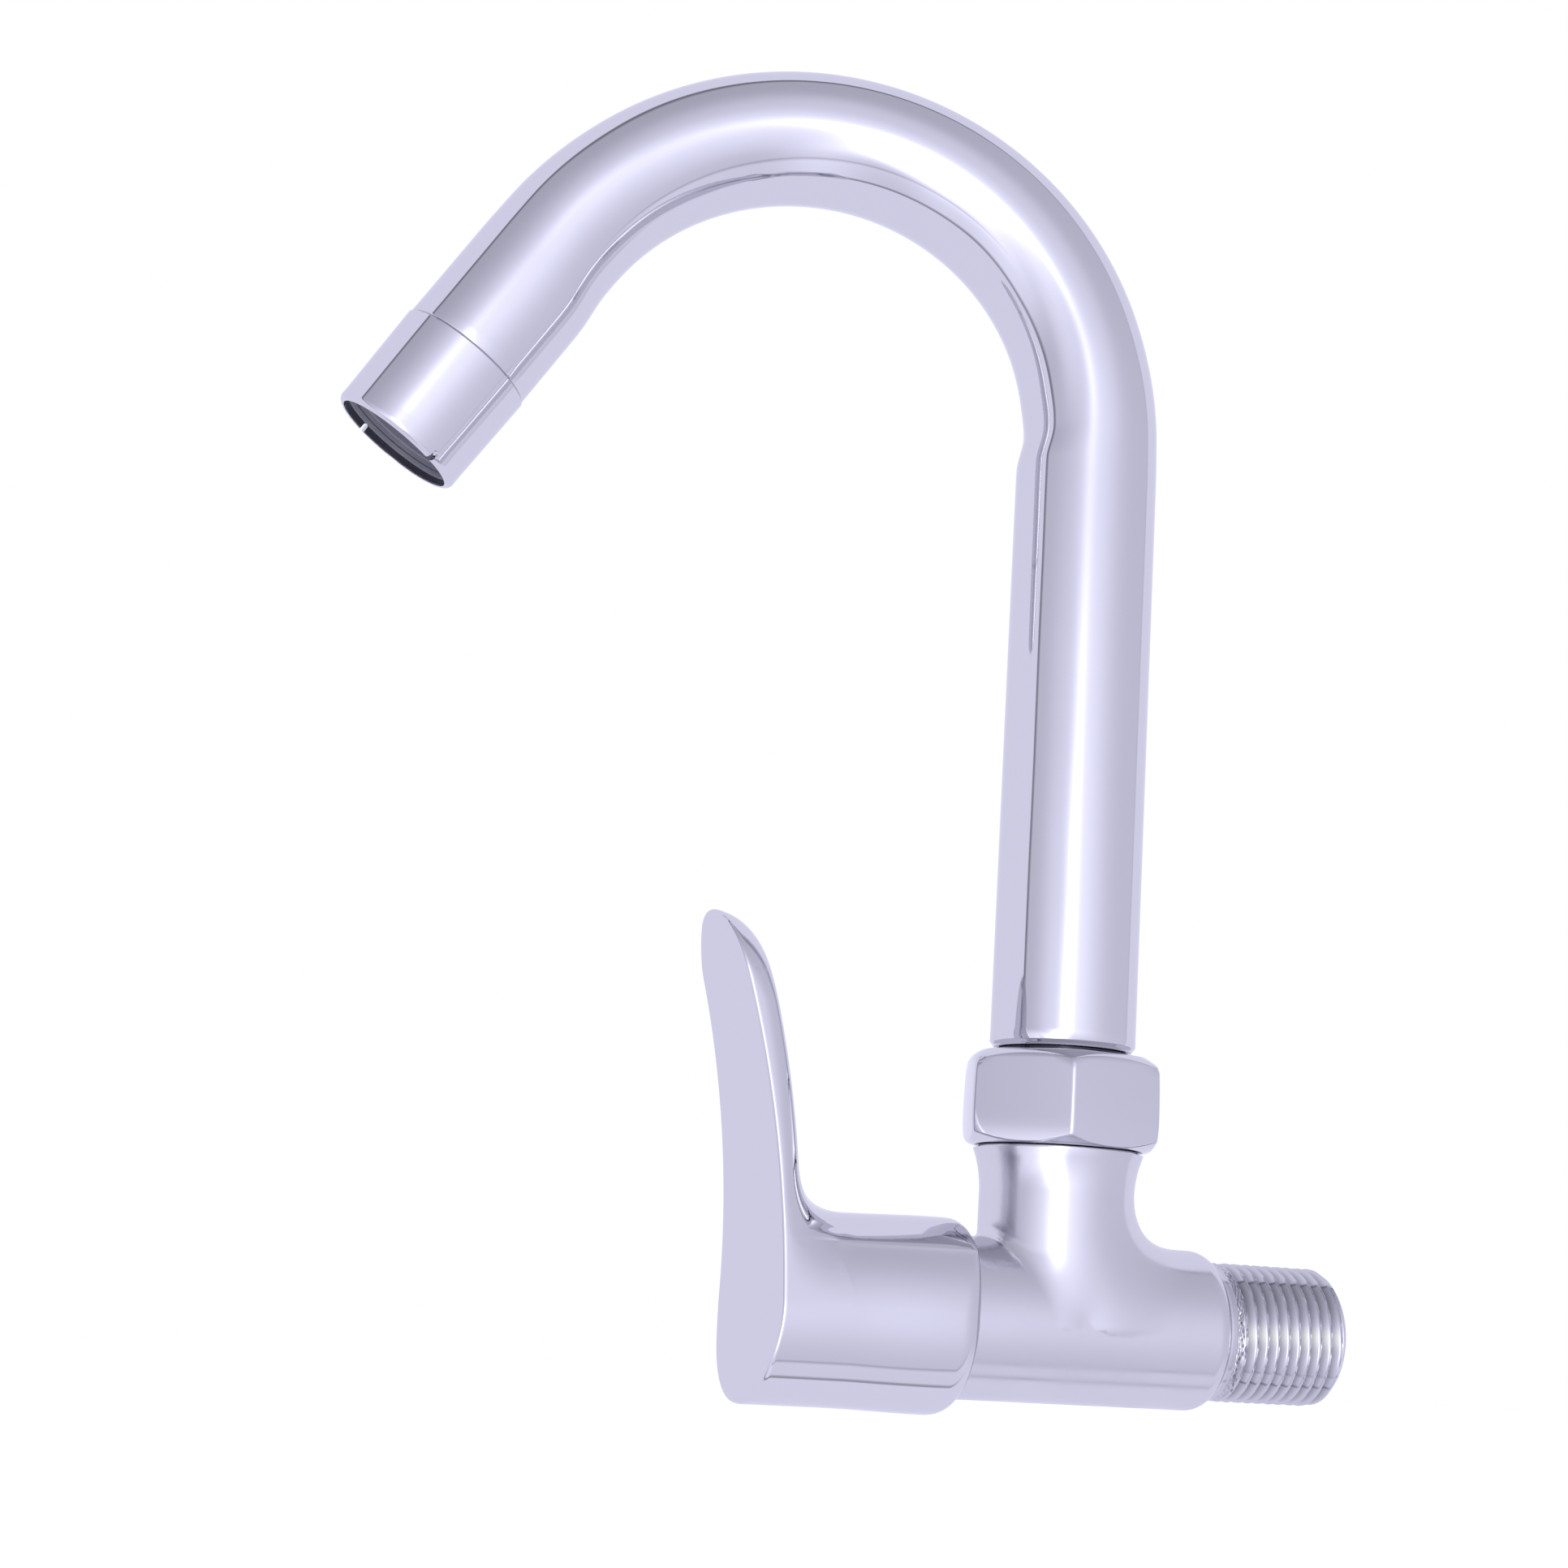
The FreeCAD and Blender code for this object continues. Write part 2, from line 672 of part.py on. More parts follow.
def moving_disc():
    """Ceramic disc that the driver turns, with its ports across the fixed ones."""
    disc = ported_disc(moving_disc_x, 0)
    deep = disc_r - drive_tab_length - 2 * part_clearance
    half = drive_tab_width / 2 + part_clearance
    back_x = moving_disc_x - disc_t
    notch_x = back_x + drive_tab_depth + part_clearance
    for low, high in ((deep, FAR), (-FAR, -deep)):
        disc = disc.cut(box_x(notch_x, back_x - CUT_PAST, half, low, high))
    return disc


def hexagon_x(x_wall, x_lever, across_flats):
    """Hexagon bar along the inlet axis."""
    corner = across_flats / 2 / math.cos(math.radians(30))
    points = []
    for index in range(6):
        y, z = polar(corner, 60 * index)
        points.append(vec(x_lever, y, z))
    return polygon_prism(points, vec(x_wall - x_lever, 0, 0))


def cartridge_housing():
    """Brass housing: ported cage, body thread, flange, hexagon and stop nose."""
    thread_end_x = chamber_front_x - disc_clearance
    housing = rod_x(cage_end_x, thread_end_x, cage_r)
    housing = housing.fuse([
        rod_x(thread_end_x, flange_x, cartridge_thread_r), rod_x(flange_x, hex_x, flange_r),
        hexagon_x(hex_x, nose_x, hex_across_flats), rod_x(nose_x, stop_x, nose_r),
        sector_x(stop_x, stop_x - stop_height, stem_bore_r, nose_r, 180, stop_angle)])
    window_x = driver_x
    slot_half = disc_lug_width / 2 + disc_clearance
    lug_slot = Part.makeBox(cage_end_x - lap_x, 2 * FAR, 2 * slot_half, vec(lap_x, -FAR, -slot_half))
    return one_solid(housing.cut([
        rod_x(cage_end_x, cage_shoulder_x, disc_bore_r),
        rod_x(cage_shoulder_x, stop_x - FAR, stem_bore_r),
        box_x(window_x, window_x - window_length, window_width / 2, -FAR, FAR), lug_slot]))


def housing_gasket():
    """Flat gasket between the body's front and the housing's flange."""
    return tube_x(front_x, flange_x, flange_r, cartridge_bore_r)


def spline_prism(x_wall, x_lever, offset):
    """Toothed bar, made larger all round by the offset."""
    points = []
    for index in range(2 * spline_teeth):
        radius = (spline_d if index % 2 else spline_root_d) / 2 + offset
        y, z = polar(radius, 180.0 * index / spline_teeth)
        points.append(vec(x_lever, y, z))
    return polygon_prism(points, vec(x_wall - x_lever, 0, 0))


def spindle_ring_x(index):
    """Place of the middle of one of the spindle's rubber rings."""
    return cage_shoulder_x - spindle_ring_first - index * spindle_ring_step


def spindle_grooves():
    """What is cut from the stem: ring grooves, clip groove and screw groove."""
    ring_bottom = stem_bore_r - spindle_ring_squeeze - spindle_ring_wire - part_clearance
    half = spindle_ring_wire / 2 + part_clearance
    cuts = []
    for index in range(2):
        middle = spindle_ring_x(index)
        cuts.append(tube_x(middle + half, middle - half, FAR, ring_bottom))
    cuts.append(tube_x(clip_x, clip_x - clip_t, FAR, clip_groove_d / 2))
    screw_half = grub_d / 2 + part_clearance
    cuts.append(tube_x(grub_x + screw_half, grub_x - screw_half, FAR, spline_root_d / 2 - part_clearance))
    return cuts


def spindle():
    """Brass spindle: driver bar with two tabs, collar, stem and splined end."""
    driver = box_x(driver_x, root_x, driver_width / 2, -disc_r, disc_r)
    tabs = box_x(driver_x + drive_tab_depth, driver_x, drive_tab_width / 2, -disc_r, disc_r)
    tab_gap = disc_r - drive_tab_length
    tabs = tabs.cut(box_x(driver_x + FAR, driver_x, FAR, -tab_gap, tab_gap))
    driver = driver.fuse(tabs).common(rod_x(driver_x + FAR, root_x - FAR, disc_r - part_clearance))
    stem_end_x = stop_x - stop_height
    spline_end_x = boss_x - spline_length
    bar = driver.fuse([
        rod_x(root_x, collar_x, spindle_root_d / 2), rod_x(collar_x, slip_x, spindle_collar_d / 2),
        rod_x(slip_x, stem_end_x, stem_r), spline_prism(stem_end_x, spline_end_x, 0)])
    return one_solid(bar.cut(spindle_grooves()))


def slip_washer():
    """Friction washer between the spindle's collar and the cage's shoulder."""
    return tube_x(slip_x, cage_shoulder_x, spindle_collar_d / 2, stem_bore_r)


def spindle_ring(index):
    """Square-cut rubber ring in a groove of the spindle."""
    middle = spindle_ring_x(index)
    half = spindle_ring_wire / 2
    outer = stem_bore_r - spindle_ring_squeeze
    return tube_x(middle + half, middle - half, outer, outer - spindle_ring_wire)


def stop_ring():
    """Splined ring whose lug meets the housing's nose at each end of the travel."""
    plate = rod_x(stop_ring_x, clip_x, nose_r)
    lug_angle = 360 - stop_angle - lever_travel - 2 * stop_free_angle
    lug_start = 360 - stop_angle - lug_angle - stop_free_angle
    lug = sector_x(stop_x - disc_clearance, stop_ring_x, stem_bore_r + part_clearance, nose_r,
                   lug_start, lug_angle)
    hole = spline_prism(stop_ring_x + CUT_PAST, clip_x - CUT_PAST, spline_clearance)
    return one_solid(plate.cut(hole).fuse(lug))


def spindle_clip():
    """Open spring clip that keeps the spindle from dropping into the cage."""
    start = clip_gap_angle / 2 - 90
    return sector_x(clip_x, clip_x - clip_t, clip_groove_d / 2, clip_d / 2, start, 360 - clip_gap_angle)


def hub_blank():
    """Outside of the hub: straight behind the face, then drafted to a round back."""
    draft_x = face_x + paddle_t + paddle_root_round + CUT_PAST
    round_r = hub_back_r - hub_back_round
    round_x = skirt_x - hub_back_round
    reach = skirt_r - round_r
    end_angle = math.degrees(math.asin(reach / hub_back_round))
    end_x = round_x + polar(hub_back_round, end_angle)[0]
    middle_x, middle_r = polar(hub_back_round, (end_angle + 90) / 2)
    return turned(
        X_AXIS, vec(face_x - FAR, 0, 0), vec(face_x - FAR, 0, hub_front_r), vec(draft_x, 0, hub_front_r),
        vec(round_x, 0, hub_back_r), (vec(round_x + middle_x, 0, round_r + middle_r),
                                      vec(end_x, 0, skirt_r)), vec(end_x, 0, 0))


def paddle_blank():
    """Paddle wider than its outline: a crowned section swept along the lean."""
    half = paddle_spread
    crown_x = face_x + paddle_t - paddle_crown_r
    edge_x = crown_x + math.sqrt(paddle_crown_r ** 2 - half ** 2)
    section = outline(vec(face_x, half, 0), vec(face_x, -half, 0), vec(edge_x, -half, 0),
                      (vec(face_x + paddle_t, 0, 0), vec(edge_x, half, 0)))
    centre = vec(face_x - lean_radius, 0, 0)
    upper = section.revolve(centre, -Y_AXIS, math.degrees(1.1 * paddle_height / lean_radius))
    lower = section.extrude(vec(0, 0, -paddle_spread))
    return upper.fuse(lower)


def root_edge(edge):
    """Whether an edge is where the paddle's back meets the hub."""
    middle = edge.valueAt((edge.FirstParameter + edge.LastParameter) / 2)
    on_hub = abs(math.hypot(middle.y, middle.z) - hub_front_r) < 0.01
    return on_hub and middle.x < face_x + paddle_t + 0.5 and middle.x > face_x + 0.2


def face_edge(edge):
    """Whether an edge runs round the paddle's front face."""
    middle = edge.valueAt((edge.FirstParameter + edge.LastParameter) / 2)
    across = abs(middle.z) < TINY and abs(middle.y) < TINY
    lean_gap = abs(math.hypot(middle.x - face_x + lean_radius, middle.z) - lean_radius)
    face_gap = abs(middle.x - face_x) if middle.z < 0 else lean_gap
    return face_gap < 0.01 and not across


def face_outline():
    """Front view of the lever: a round foot, drawn-in sides and a round tip."""
    tip_z = paddle_height - paddle_tip_r
    side_z = 2.0
    side_y = math.sqrt(hub_front_r ** 2 - side_z ** 2)
    return outline(
        vec(0, side_y, side_z),
        (vec(0, paddle_waist_half, paddle_waist_height), vec(0, paddle_tip_r, tip_z)),
        (vec(0, 0, paddle_height), vec(0, -paddle_tip_r, tip_z)),
        (vec(0, -paddle_waist_half, paddle_waist_height), vec(0, -side_y, side_z)),
        (vec(0, 0, -hub_front_r), vec(0, side_y, side_z)))


def lever_blank():
    """Outside of the lever."""
    hub = hub_blank().cut(Part.makeBox(FAR, 2 * FAR, 2 * FAR, vec(face_x - FAR, -FAR, -FAR)))
    whole = hub.fuse(paddle_blank()).removeSplitter()
    root = [edge for edge in whole.Edges if root_edge(edge)]
    whole = whole.makeFillet(paddle_root_round, root)
    trim_x = face_x + paddle_t + paddle_root_round + CUT_PAST / 2
    front = Part.makeBox(FAR, 2 * FAR, 2 * FAR, vec(trim_x - FAR, -FAR, -FAR))
    keep = face_outline().extrude(vec(2 * FAR, 0, 0))
    keep.translate(vec(trim_x - 2 * FAR, 0, 0))
    whole = whole.cut(front.cut(keep)).removeSplitter()
    return whole.makeFillet(face_edge_round, [edge for edge in whole.Edges if face_edge(edge)])


def grub_frame(shape):
    """Moves a piece from the +Y side of the hub to the screw's place."""
    shape.rotate(ORIGIN, X_AXIS, grub_turn)
    shape.translate(vec(grub_x, 0, 0))
    return shape


def lever_handle():
    """Cast lever: skirt over the body's front, splined socket and paddle."""
    cavity = rod_x(skirt_x + FAR, boss_x, skirt_r)
    socket = spline_prism(boss_x + CUT_PAST, socket_end_x, spline_clearance)
    screw_hole = grub_frame(Part.makeCylinder(grub_d / 2 + grub_clearance, FAR, ORIGIN, Y_AXIS))
    return one_solid(lever_blank().cut([cavity, socket, screw_hole]))


def grub_screw():
    """Hexagon socket screw that grips the spindle's groove from below."""
    tip = spline_root_d / 2
    screw = Part.makeCylinder(grub_d / 2, grub_length, vec(0, tip, 0), Y_AXIS)
    socket_r = grub_socket / 2 / math.cos(math.radians(30))
    points = []
    for index in range(6):
        x, z = polar(socket_r, 60 * index)
        points.append(vec(x, tip + grub_length, z))
    return grub_frame(screw.cut(polygon_prism(points, vec(0, -grub_socket_depth, 0))))


PIECES = {
    "valve_body": valve_body,
    "swivel_nut": swivel_nut,
    "lower_swivel_washer": lower_swivel_washer,
    "upper_swivel_washer": upper_swivel_washer,
    "seat_washer": seat_washer,
    "fixed_disc": fixed_disc,
    "cartridge_housing": cartridge_housing,
    "housing_gasket": housing_gasket,
    "moving_disc": moving_disc,
    "spindle": spindle,
    "slip_washer": slip_washer,
    "spindle_ring_inner": lambda: spindle_ring(0),
    "spindle_ring_outer": lambda: spindle_ring(1),
    "stop_ring": stop_ring,
    "spindle_clip": spindle_clip,
    "lever_handle": lever_handle,
    "grub_screw": grub_screw,
    "spout_shank": spout_shank,
    "shank_ring_lower": lambda: shank_ring(0),
    "shank_ring_upper": lambda: shank_ring(1),
    "spout_tube": spout_tube,
    "outlet_bush": outlet_bush,
    "aerator_shell": aerator_shell,
    "aerator_washer": aerator_washer,
    "aerator_housing": aerator_housing,
    "diffuser": diffuser,
    "upper_screen": lambda: screen(upper_screen_s),
    "lower_screen": lambda: screen(lower_screen_s),
}


def main():
    """Builds each piece and writes it to its own file."""
    os.makedirs("parts", exist_ok=True)
    for name, build in PIECES.items():
        build().exportStep("parts/" + name + ".step")


main()
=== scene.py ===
"""A chrome plated swan neck wall tap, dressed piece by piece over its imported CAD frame."""

import math
from types import SimpleNamespace

import bmesh
import bpy
import numpy as np
from bpy.props import FloatProperty, FloatVectorProperty, PointerProperty
from bpy.types import Operator, Panel, PropertyGroup
from mathutils import Matrix


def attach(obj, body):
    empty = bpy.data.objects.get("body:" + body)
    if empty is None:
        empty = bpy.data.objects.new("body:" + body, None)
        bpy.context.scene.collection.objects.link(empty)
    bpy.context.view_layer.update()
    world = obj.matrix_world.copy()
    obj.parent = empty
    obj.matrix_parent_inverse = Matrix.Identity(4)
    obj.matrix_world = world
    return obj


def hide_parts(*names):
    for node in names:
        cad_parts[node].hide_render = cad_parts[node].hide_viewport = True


bl_info = {
    "name": "Swan Neck Tap",
    "version": (1, 0, 0),
    "blender": (4, 5, 0),
    "location": "3D View > Sidebar > Tap",
    "description": "Builds the chrome pieces, finishes and studio of a swan neck wall tap",
    "category": "Object",
}

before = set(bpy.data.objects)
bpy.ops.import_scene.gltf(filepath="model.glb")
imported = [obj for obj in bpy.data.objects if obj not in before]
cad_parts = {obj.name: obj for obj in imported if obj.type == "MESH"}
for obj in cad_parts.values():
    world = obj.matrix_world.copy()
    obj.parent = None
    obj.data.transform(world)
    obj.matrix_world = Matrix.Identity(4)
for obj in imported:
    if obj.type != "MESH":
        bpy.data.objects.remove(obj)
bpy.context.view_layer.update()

TURN = 2.0 * math.pi


# Settings

def place(name, text, millimetres, **limits):
    """A distance along an axis, shown in the scene's units and stored in metres."""
    return FloatProperty(name=name, description=text, default=millimetres / 1000.0,
                         precision=4, unit="LENGTH", **limits)


def length(name, text, millimetres):
    """A size, which is never negative."""
    return place(name, text, millimetres, min=0.0)


def turn(name, text, degrees):
    """An angle, stored in radians."""
    return FloatProperty(name=name, description=text, default=math.radians(degrees),
                         subtype="ANGLE")


def linear(code):
    """Turns an sRGB hex value into linear red, green, blue and an alpha of 1."""
    parts = [int(code[i:i + 2], 16) / 255.0 for i in (1, 3, 5)]
    low = [c / 12.92 if c <= 0.04045 else ((c + 0.055) / 1.055) ** 2.4 for c in parts]
    return (*low, 1.0)


def shade(name, text, code):
    """A colour given as an sRGB hex value."""
    return FloatVectorProperty(name=name, description=text, size=4, min=0.0, max=1.0,
                               subtype="COLOR", default=linear(code))


class BodySizes(PropertyGroup):
    """Sizes of the cast body, along the inlet axis from the start of its thread."""

    riser_x: place("Riser", "Place of the riser on the inlet axis", -25.4)
    front_x: place("Front", "Open end beside the lever", -44.4)
    seat_x: place("Seat", "Face that seals the cartridge", -16.4)
    chamber_x: place("Chamber", "Where the cartridge thread ends", -34.4)
    barrel_r: length("Barrel", "Outer radius of the barrel", 12.0)
    cartridge_r: length("Cartridge bore", "Radius of the threaded mouth", 10.45)
    chamber_r: length("Chamber radius", "Radius round the cage", 10.0)
    shoulder: length("Shoulder", "Rounding by the thread", 3.0)
    thread_r: length("Thread crest", "Radius over the crests", 10.4775)
    thread_depth: length("Thread depth", "From crest to root", 0.8)
    thread_pitch: length("Thread pitch", "From crest to crest", 1.814)
    thread_end: length("Thread end", "Length of the inlet", 20.0)
    thread_chamfer: length("Thread chamfer", "Chamfer at the inlet's end", 1.2)
    inlet_r: length("Waterway", "Radius of the inlet bore", 7.0)
    inlet_chamfer: length("Mouth chamfer", "Chamfer of the inlet bore", 0.8)
    waist_r: length("Neck waist", "Radius of the neck at its waist", 11.7)
    waist_top: length("Waist top", "Height where the flare starts", 19.0)
    flare_r: length("Neck flare", "Radius under the nut", 12.9)
    flare_top: length("Flare top", "Height of the flare", 25.4)
    neck_thread_r: length("Neck thread", "Radius inside the nut", 12.0)
    neck_top: length("Neck top", "Height of the neck inside the nut", 32.6)
    neck_bore_r: length("Neck bore", "Radius round the shank", 9.0)
    crotch_lever: length("Crotch by lever", "Rounding on the lever's side", 1.4)
    crotch_wall: length("Crotch by wall", "Rounding on the wall's side", 6.5)


class SpoutSizes(PropertyGroup):
    """Sizes of the bent tube and the outlet at its end."""

    foot: length("Tube foot", "Height where the tube starts", 40.76)
    riser: length("Riser length", "Straight length before the bend", 97.35)
    bend_r: length("Bend radius", "Radius along the tube's middle", 46.6)
    bend: turn("Bend angle", "How far the tube is bent", 146.15)
    tail: length("Tail length", "Straight length after the bend", 25.1)
    swing: turn("Swing", "How far the spout is swung at rest", -15.8)
    tube_r: length("Tube radius", "Outer radius of the tube", 11.1)
    wall: length("Tube wall", "Thickness of the wall", 1.1)
    bevel: length("Foot bevel", "Height of the bevel round the foot", 0.6)
    flatten: length("Flattening", "Flattening of the bend on each side", 0.65)
    widen: length("Widening", "Widening of the bend on each side", 0.35)
    dent: length("Bend mark", "Depth of the bending tool's marks", 0.3)
    collar_r: length("Collar radius", "Outer radius of the collar", 11.345)
    collar: length("Collar length", "Length of the outlet collar", 17.9)
    taper: length("Collar taper", "Loss of radius to the rim", 0.3)
    collar_bore_r: length("Collar bore", "Inner radius of the collar", 9.95)
    ledge_r: length("Ledge hole", "Radius of the hole in the ledge", 8.8)
    ledge_t: length("Ledge thickness", "Thickness of the collar's ledge", 1.3)
    mouth: length("Mouth depth", "Depth from the rim to the ledge", 2.8)
    rim: length("Rim round", "Rounding of the collar's rim", 1.0)
    notch_w: length("Notch width", "Width of the spanner notches", 1.05)
    notch_d: length("Notch depth", "Depth of the spanner notches", 1.3)
    notch: turn("Notch turn", "Place of the notches round the collar", 45.0)
    screen_r: length("Screen radius", "Radius of the woven screen", 7.85)
    screen_s: length("Screen place", "Distance from the collar's seam", 12.9)
    wire: length("Screen wire", "Thickness of the wires", 0.2)
    mesh: length("Screen mesh", "Distance between the wires", 0.46)


class NutSizes(PropertyGroup):
    """Sizes of the hexagon nut, as heights above the inlet axis."""

    foot: length("Nut foot", "Height of the lower face", 25.7)
    top: length("Nut top", "Height of the upper face", 40.06)
    lip: length("Nut lip", "Height of the lip's lower face", 36.66)
    half: length("Half across flats", "Half of the size across flats", 14.2)
    foot_r: length("Foot radius", "Radius of the face inside its chamfer", 13.1)
    cone: turn("Chamfer", "Slope of the cones at foot and top", 30.0)
    top_round: length("Top round", "Rounding of the upper edge", 1.6)
    top_r: length("Top radius", "Radius where the cone meets the top", 13.1)
    bore_r: length("Thread radius", "Radius inside the nut's thread", 12.05)
    hole_r: length("Hole radius", "Radius of the hole in the lip", 10.1)
    pillow: length("Pillow", "Bulge of the flats between foot and top", 0.7)
    edge_round: length("Edge round", "Rounding of the upright edges", 0.42)
    corner: turn("Corner", "Where the nearest corner lies", -108.9)


class LeverSizes(PropertyGroup):
    """Sizes of the lever, along the inlet axis from the start of the thread."""

    face_x: place("Face", "Front face at the inlet axis", -73.7)
    back_x: place("Back", "Rear end of the hub's skirt", -42.5)
    boss_x: place("Boss", "Rear face of the boss in the skirt", -57.6)
    socket_x: place("Socket end", "Deep end of the splined socket", -67.6)
    foot_r: length("Foot radius", "Radius of the hub behind the face", 14.1)
    hub_r: length("Hub radius", "Radius of the hub at its rear end", 14.45)
    skirt_r: length("Skirt bore", "Radius inside the skirt", 12.3)
    socket_r: length("Socket radius", "Radius of the splined socket", 4.0)
    back_round: length("Back round", "Rounding of the rear edge", 3.0)
    height: length("Height", "Height of the paddle's tip", 56.8)
    tip_r: length("Tip radius", "Radius of the paddle's tip", 10.06)
    waist_drop: length("Side hollow", "How far the sides are drawn in", 0.12)
    thickness: length("Thickness", "Thickness along the middle", 5.5)
    crown_r: length("Crown radius", "Radius of the crowned back", 32.0)
    lean_r: length("Lean radius", "Radius of the forward lean", 165.0)
    foot_lean: length("Foot lean", "How far the face leans out below", 2.1)
    root_round: length("Root round", "Fillet from hub to paddle", 8.2)
    edge_round: length("Edge round", "Rounding of the face's edge", 0.7)
    foot_round: length("Foot round", "Rounding of that edge below", 1.6)
    back_edge: length("Back edge", "Rounding of the paddle's rear edge", 2.4)
    corner_y: length("Hub corner", "The soft corner, to the side", 11.0)
    corner_z: length("Corner height", "The soft corner, upwards", 9.7)
    hollow: length("Corner hollow", "Hollow under the soft corner", 0.18)
    tip_edge: length("Tip edge", "Added rounding of the rear edge", 4.0)


class Finishes(PropertyGroup):
    """Colours of the finishes."""

    chrome: shade("Chrome", "Polished chrome plate", "#D4D4D9")
    # A darker copy of the chrome, painted shade over the thread
    chrome_thread: shade("Thread chrome", "Plate over the cut thread", "#C6C6CC")
    brass: shade("Brass", "Turned brass", "#C9A25B")
    rubber: shade("Rubber", "Black nitrile rubber", "#1B1B1D")
    fibre: shade("Fibre", "Pressed red fibre", "#7C3A2C")
    acetal: shade("Acetal", "White acetal washers", "#E6E4DC")
    moulding: shade("Moulding", "Grey moulded aerator", "#7E7D88")
    steel: shade("Steel", "Stainless steel", "#B4B3B6")
    ceramic: shade("Ceramic", "Lapped alumina", "#F0EEE6")
    # Painted shade: near-black for the shaded mouth of the outlet
    insert: shade("Insert", "Dark moulded insert", "#33323B")
    # Painted shade: a dark chrome for the shank in the shadowed gap above the nut
    shank: shade("Shank", "Darkened chrome", "#3B3A44")
    floor: shade("Floor", "Pale studio floor", "#F4F4F6")
    tent: shade("Tent", "Cloth of the light tent", "#EBEAFF")


class Studio(PropertyGroup):
    """The camera, the floor and the lamp round the tap."""

    lens: FloatProperty(name="Lens", description="Focal length on a 36 mm sensor",
                        default=63.23, unit="CAMERA")
    floor_z: place("Floor", "Height of the floor", -100.0)
    lamp: FloatProperty(name="Lamp", description="Power of the overhead lamp", default=9.0,
                        min=0.0, unit="POWER")


SETTINGS = (("tap_body", BodySizes), ("tap_spout", SpoutSizes), ("tap_nut", NutSizes),
            ("tap_lever", LeverSizes), ("tap_finishes", Finishes), ("tap_studio", Studio))


def sizes(*keys):
    """These groups of settings, with their lengths turned to millimetres."""
    groups = []
    for key in keys:
        group = getattr(bpy.context.scene, "tap_" + key)
        kinds = group.bl_rna.properties
        groups.append(SimpleNamespace(**{
            name: getattr(group, name) * (1000.0 if kinds[name].unit == "LENGTH" else 1.0)
            for name in group.__annotations__}))
    return groups


# Small functions for shapes, in millimetres

def rising(value, low, high):
    """Rises from 0 at low to 1 at high, level at both ends: 3 t^2 - 2 t^3 of the way t."""
    t = np.clip((value - low) / (high - low), 0.0, 1.0)
    return t * t * (3.0 - 2.0 * t)


def falling(value, low, high):
    """Falls from 1 at low to 0 at high in the same way."""
    return 1.0 - rising(value, low, high)


def round_max(a, b, k):
    """The larger of two distances with the corner between them rounded over a width k."""
    h = np.maximum(k - np.abs(a - b), 0.0) / np.maximum(k, 1e-9)
    return np.maximum(a, b) + h * h * k * 0.25


def round_min(a, b, k):
    """The smaller of two distances with the corner between them filled over a width k."""
    return -round_max(-a, -b, k)


def bow_radius(half, rise):
    """Radius of an arc from half of its chord and its rise: (half^2 + rise^2) / (2 rise)."""
    return (half ** 2 + rise ** 2) / (2.0 * rise)


def joined(*axes):
    """Points from their coordinates, which are stretched to the shape they share."""
    return np.stack(np.broadcast_arrays(*axes), -1)


def arc(centre, radius, start, end, count):
    """Points of an arc in a profile plane, in degrees."""
    angle = np.radians(np.linspace(start, end, count))
    return joined(centre[0] + radius * np.cos(angle), centre[1] + radius * np.sin(angle))


def route(corners, counts, last=False):
    """Points along straight lines from corner to corner, up to the last one or with it."""
    legs = []
    for index, count in enumerate(counts):
        closed = last and index == len(counts) - 1
        t = np.linspace(0.0, 1.0, count, endpoint=closed)[:, None]
        start, end = np.asarray(corners[index:index + 2], float)
        legs.append(start * (1.0 - t) + end * t)
    return np.concatenate(legs)


def numbered(points):
    """The numbers of a grid of points."""
    return np.arange(points[..., 0].size).reshape(points.shape[:-1])


def grid_faces(grid, close_rows, close_columns):
    """Four-sided faces over a grid of point numbers, wrapped round where asked."""
    grid = np.pad(grid, ((0, int(close_rows)), (0, int(close_columns))), "wrap")
    quads = joined(grid[:-1, :-1], grid[:-1, 1:], grid[1:, 1:], grid[1:, :-1])
    return quads.reshape(-1, 4)


def lathe(profile, angles):
    """Points of a profile of (height, radius) pairs turned about the Z axis."""
    height, radius = profile.T[..., None]
    return joined(radius * np.cos(angles), radius * np.sin(angles), height)


def first_crossing(field, start, target, low, high, steps, halvings=26):
    """Where each ray from start through target first leaves the solid.

    The field is negative inside. Each ray is walked in even steps from low to high times the
    distance to its target until the field turns positive, and that step is then halved."""
    ray = target - start
    near = np.full(ray.shape[:-1], low)
    far = np.full(ray.shape[:-1], high)
    inside = np.ones(ray.shape[:-1], bool)
    for s in np.linspace(low, high, steps)[1:]:
        outside = field(start + ray * s) > 0.0
        far = np.where(inside & outside, s, far)
        near = np.where(inside & ~outside, s, near)
        inside &= ~outside
    for _ in range(halvings):
        middle = 0.5 * (near + far)
        outside = field(start + ray * middle[..., None]) > 0.0
        far = np.where(outside, middle, far)
        near = np.where(outside, near, middle)
    return start + ray * (0.5 * (near + far))[..., None]


# From points to objects

def put(name, data):
    """Adds an object to the scene."""
    thing = bpy.data.objects.new(name, data)
    bpy.context.scene.collection.objects.link(thing)
    return thing


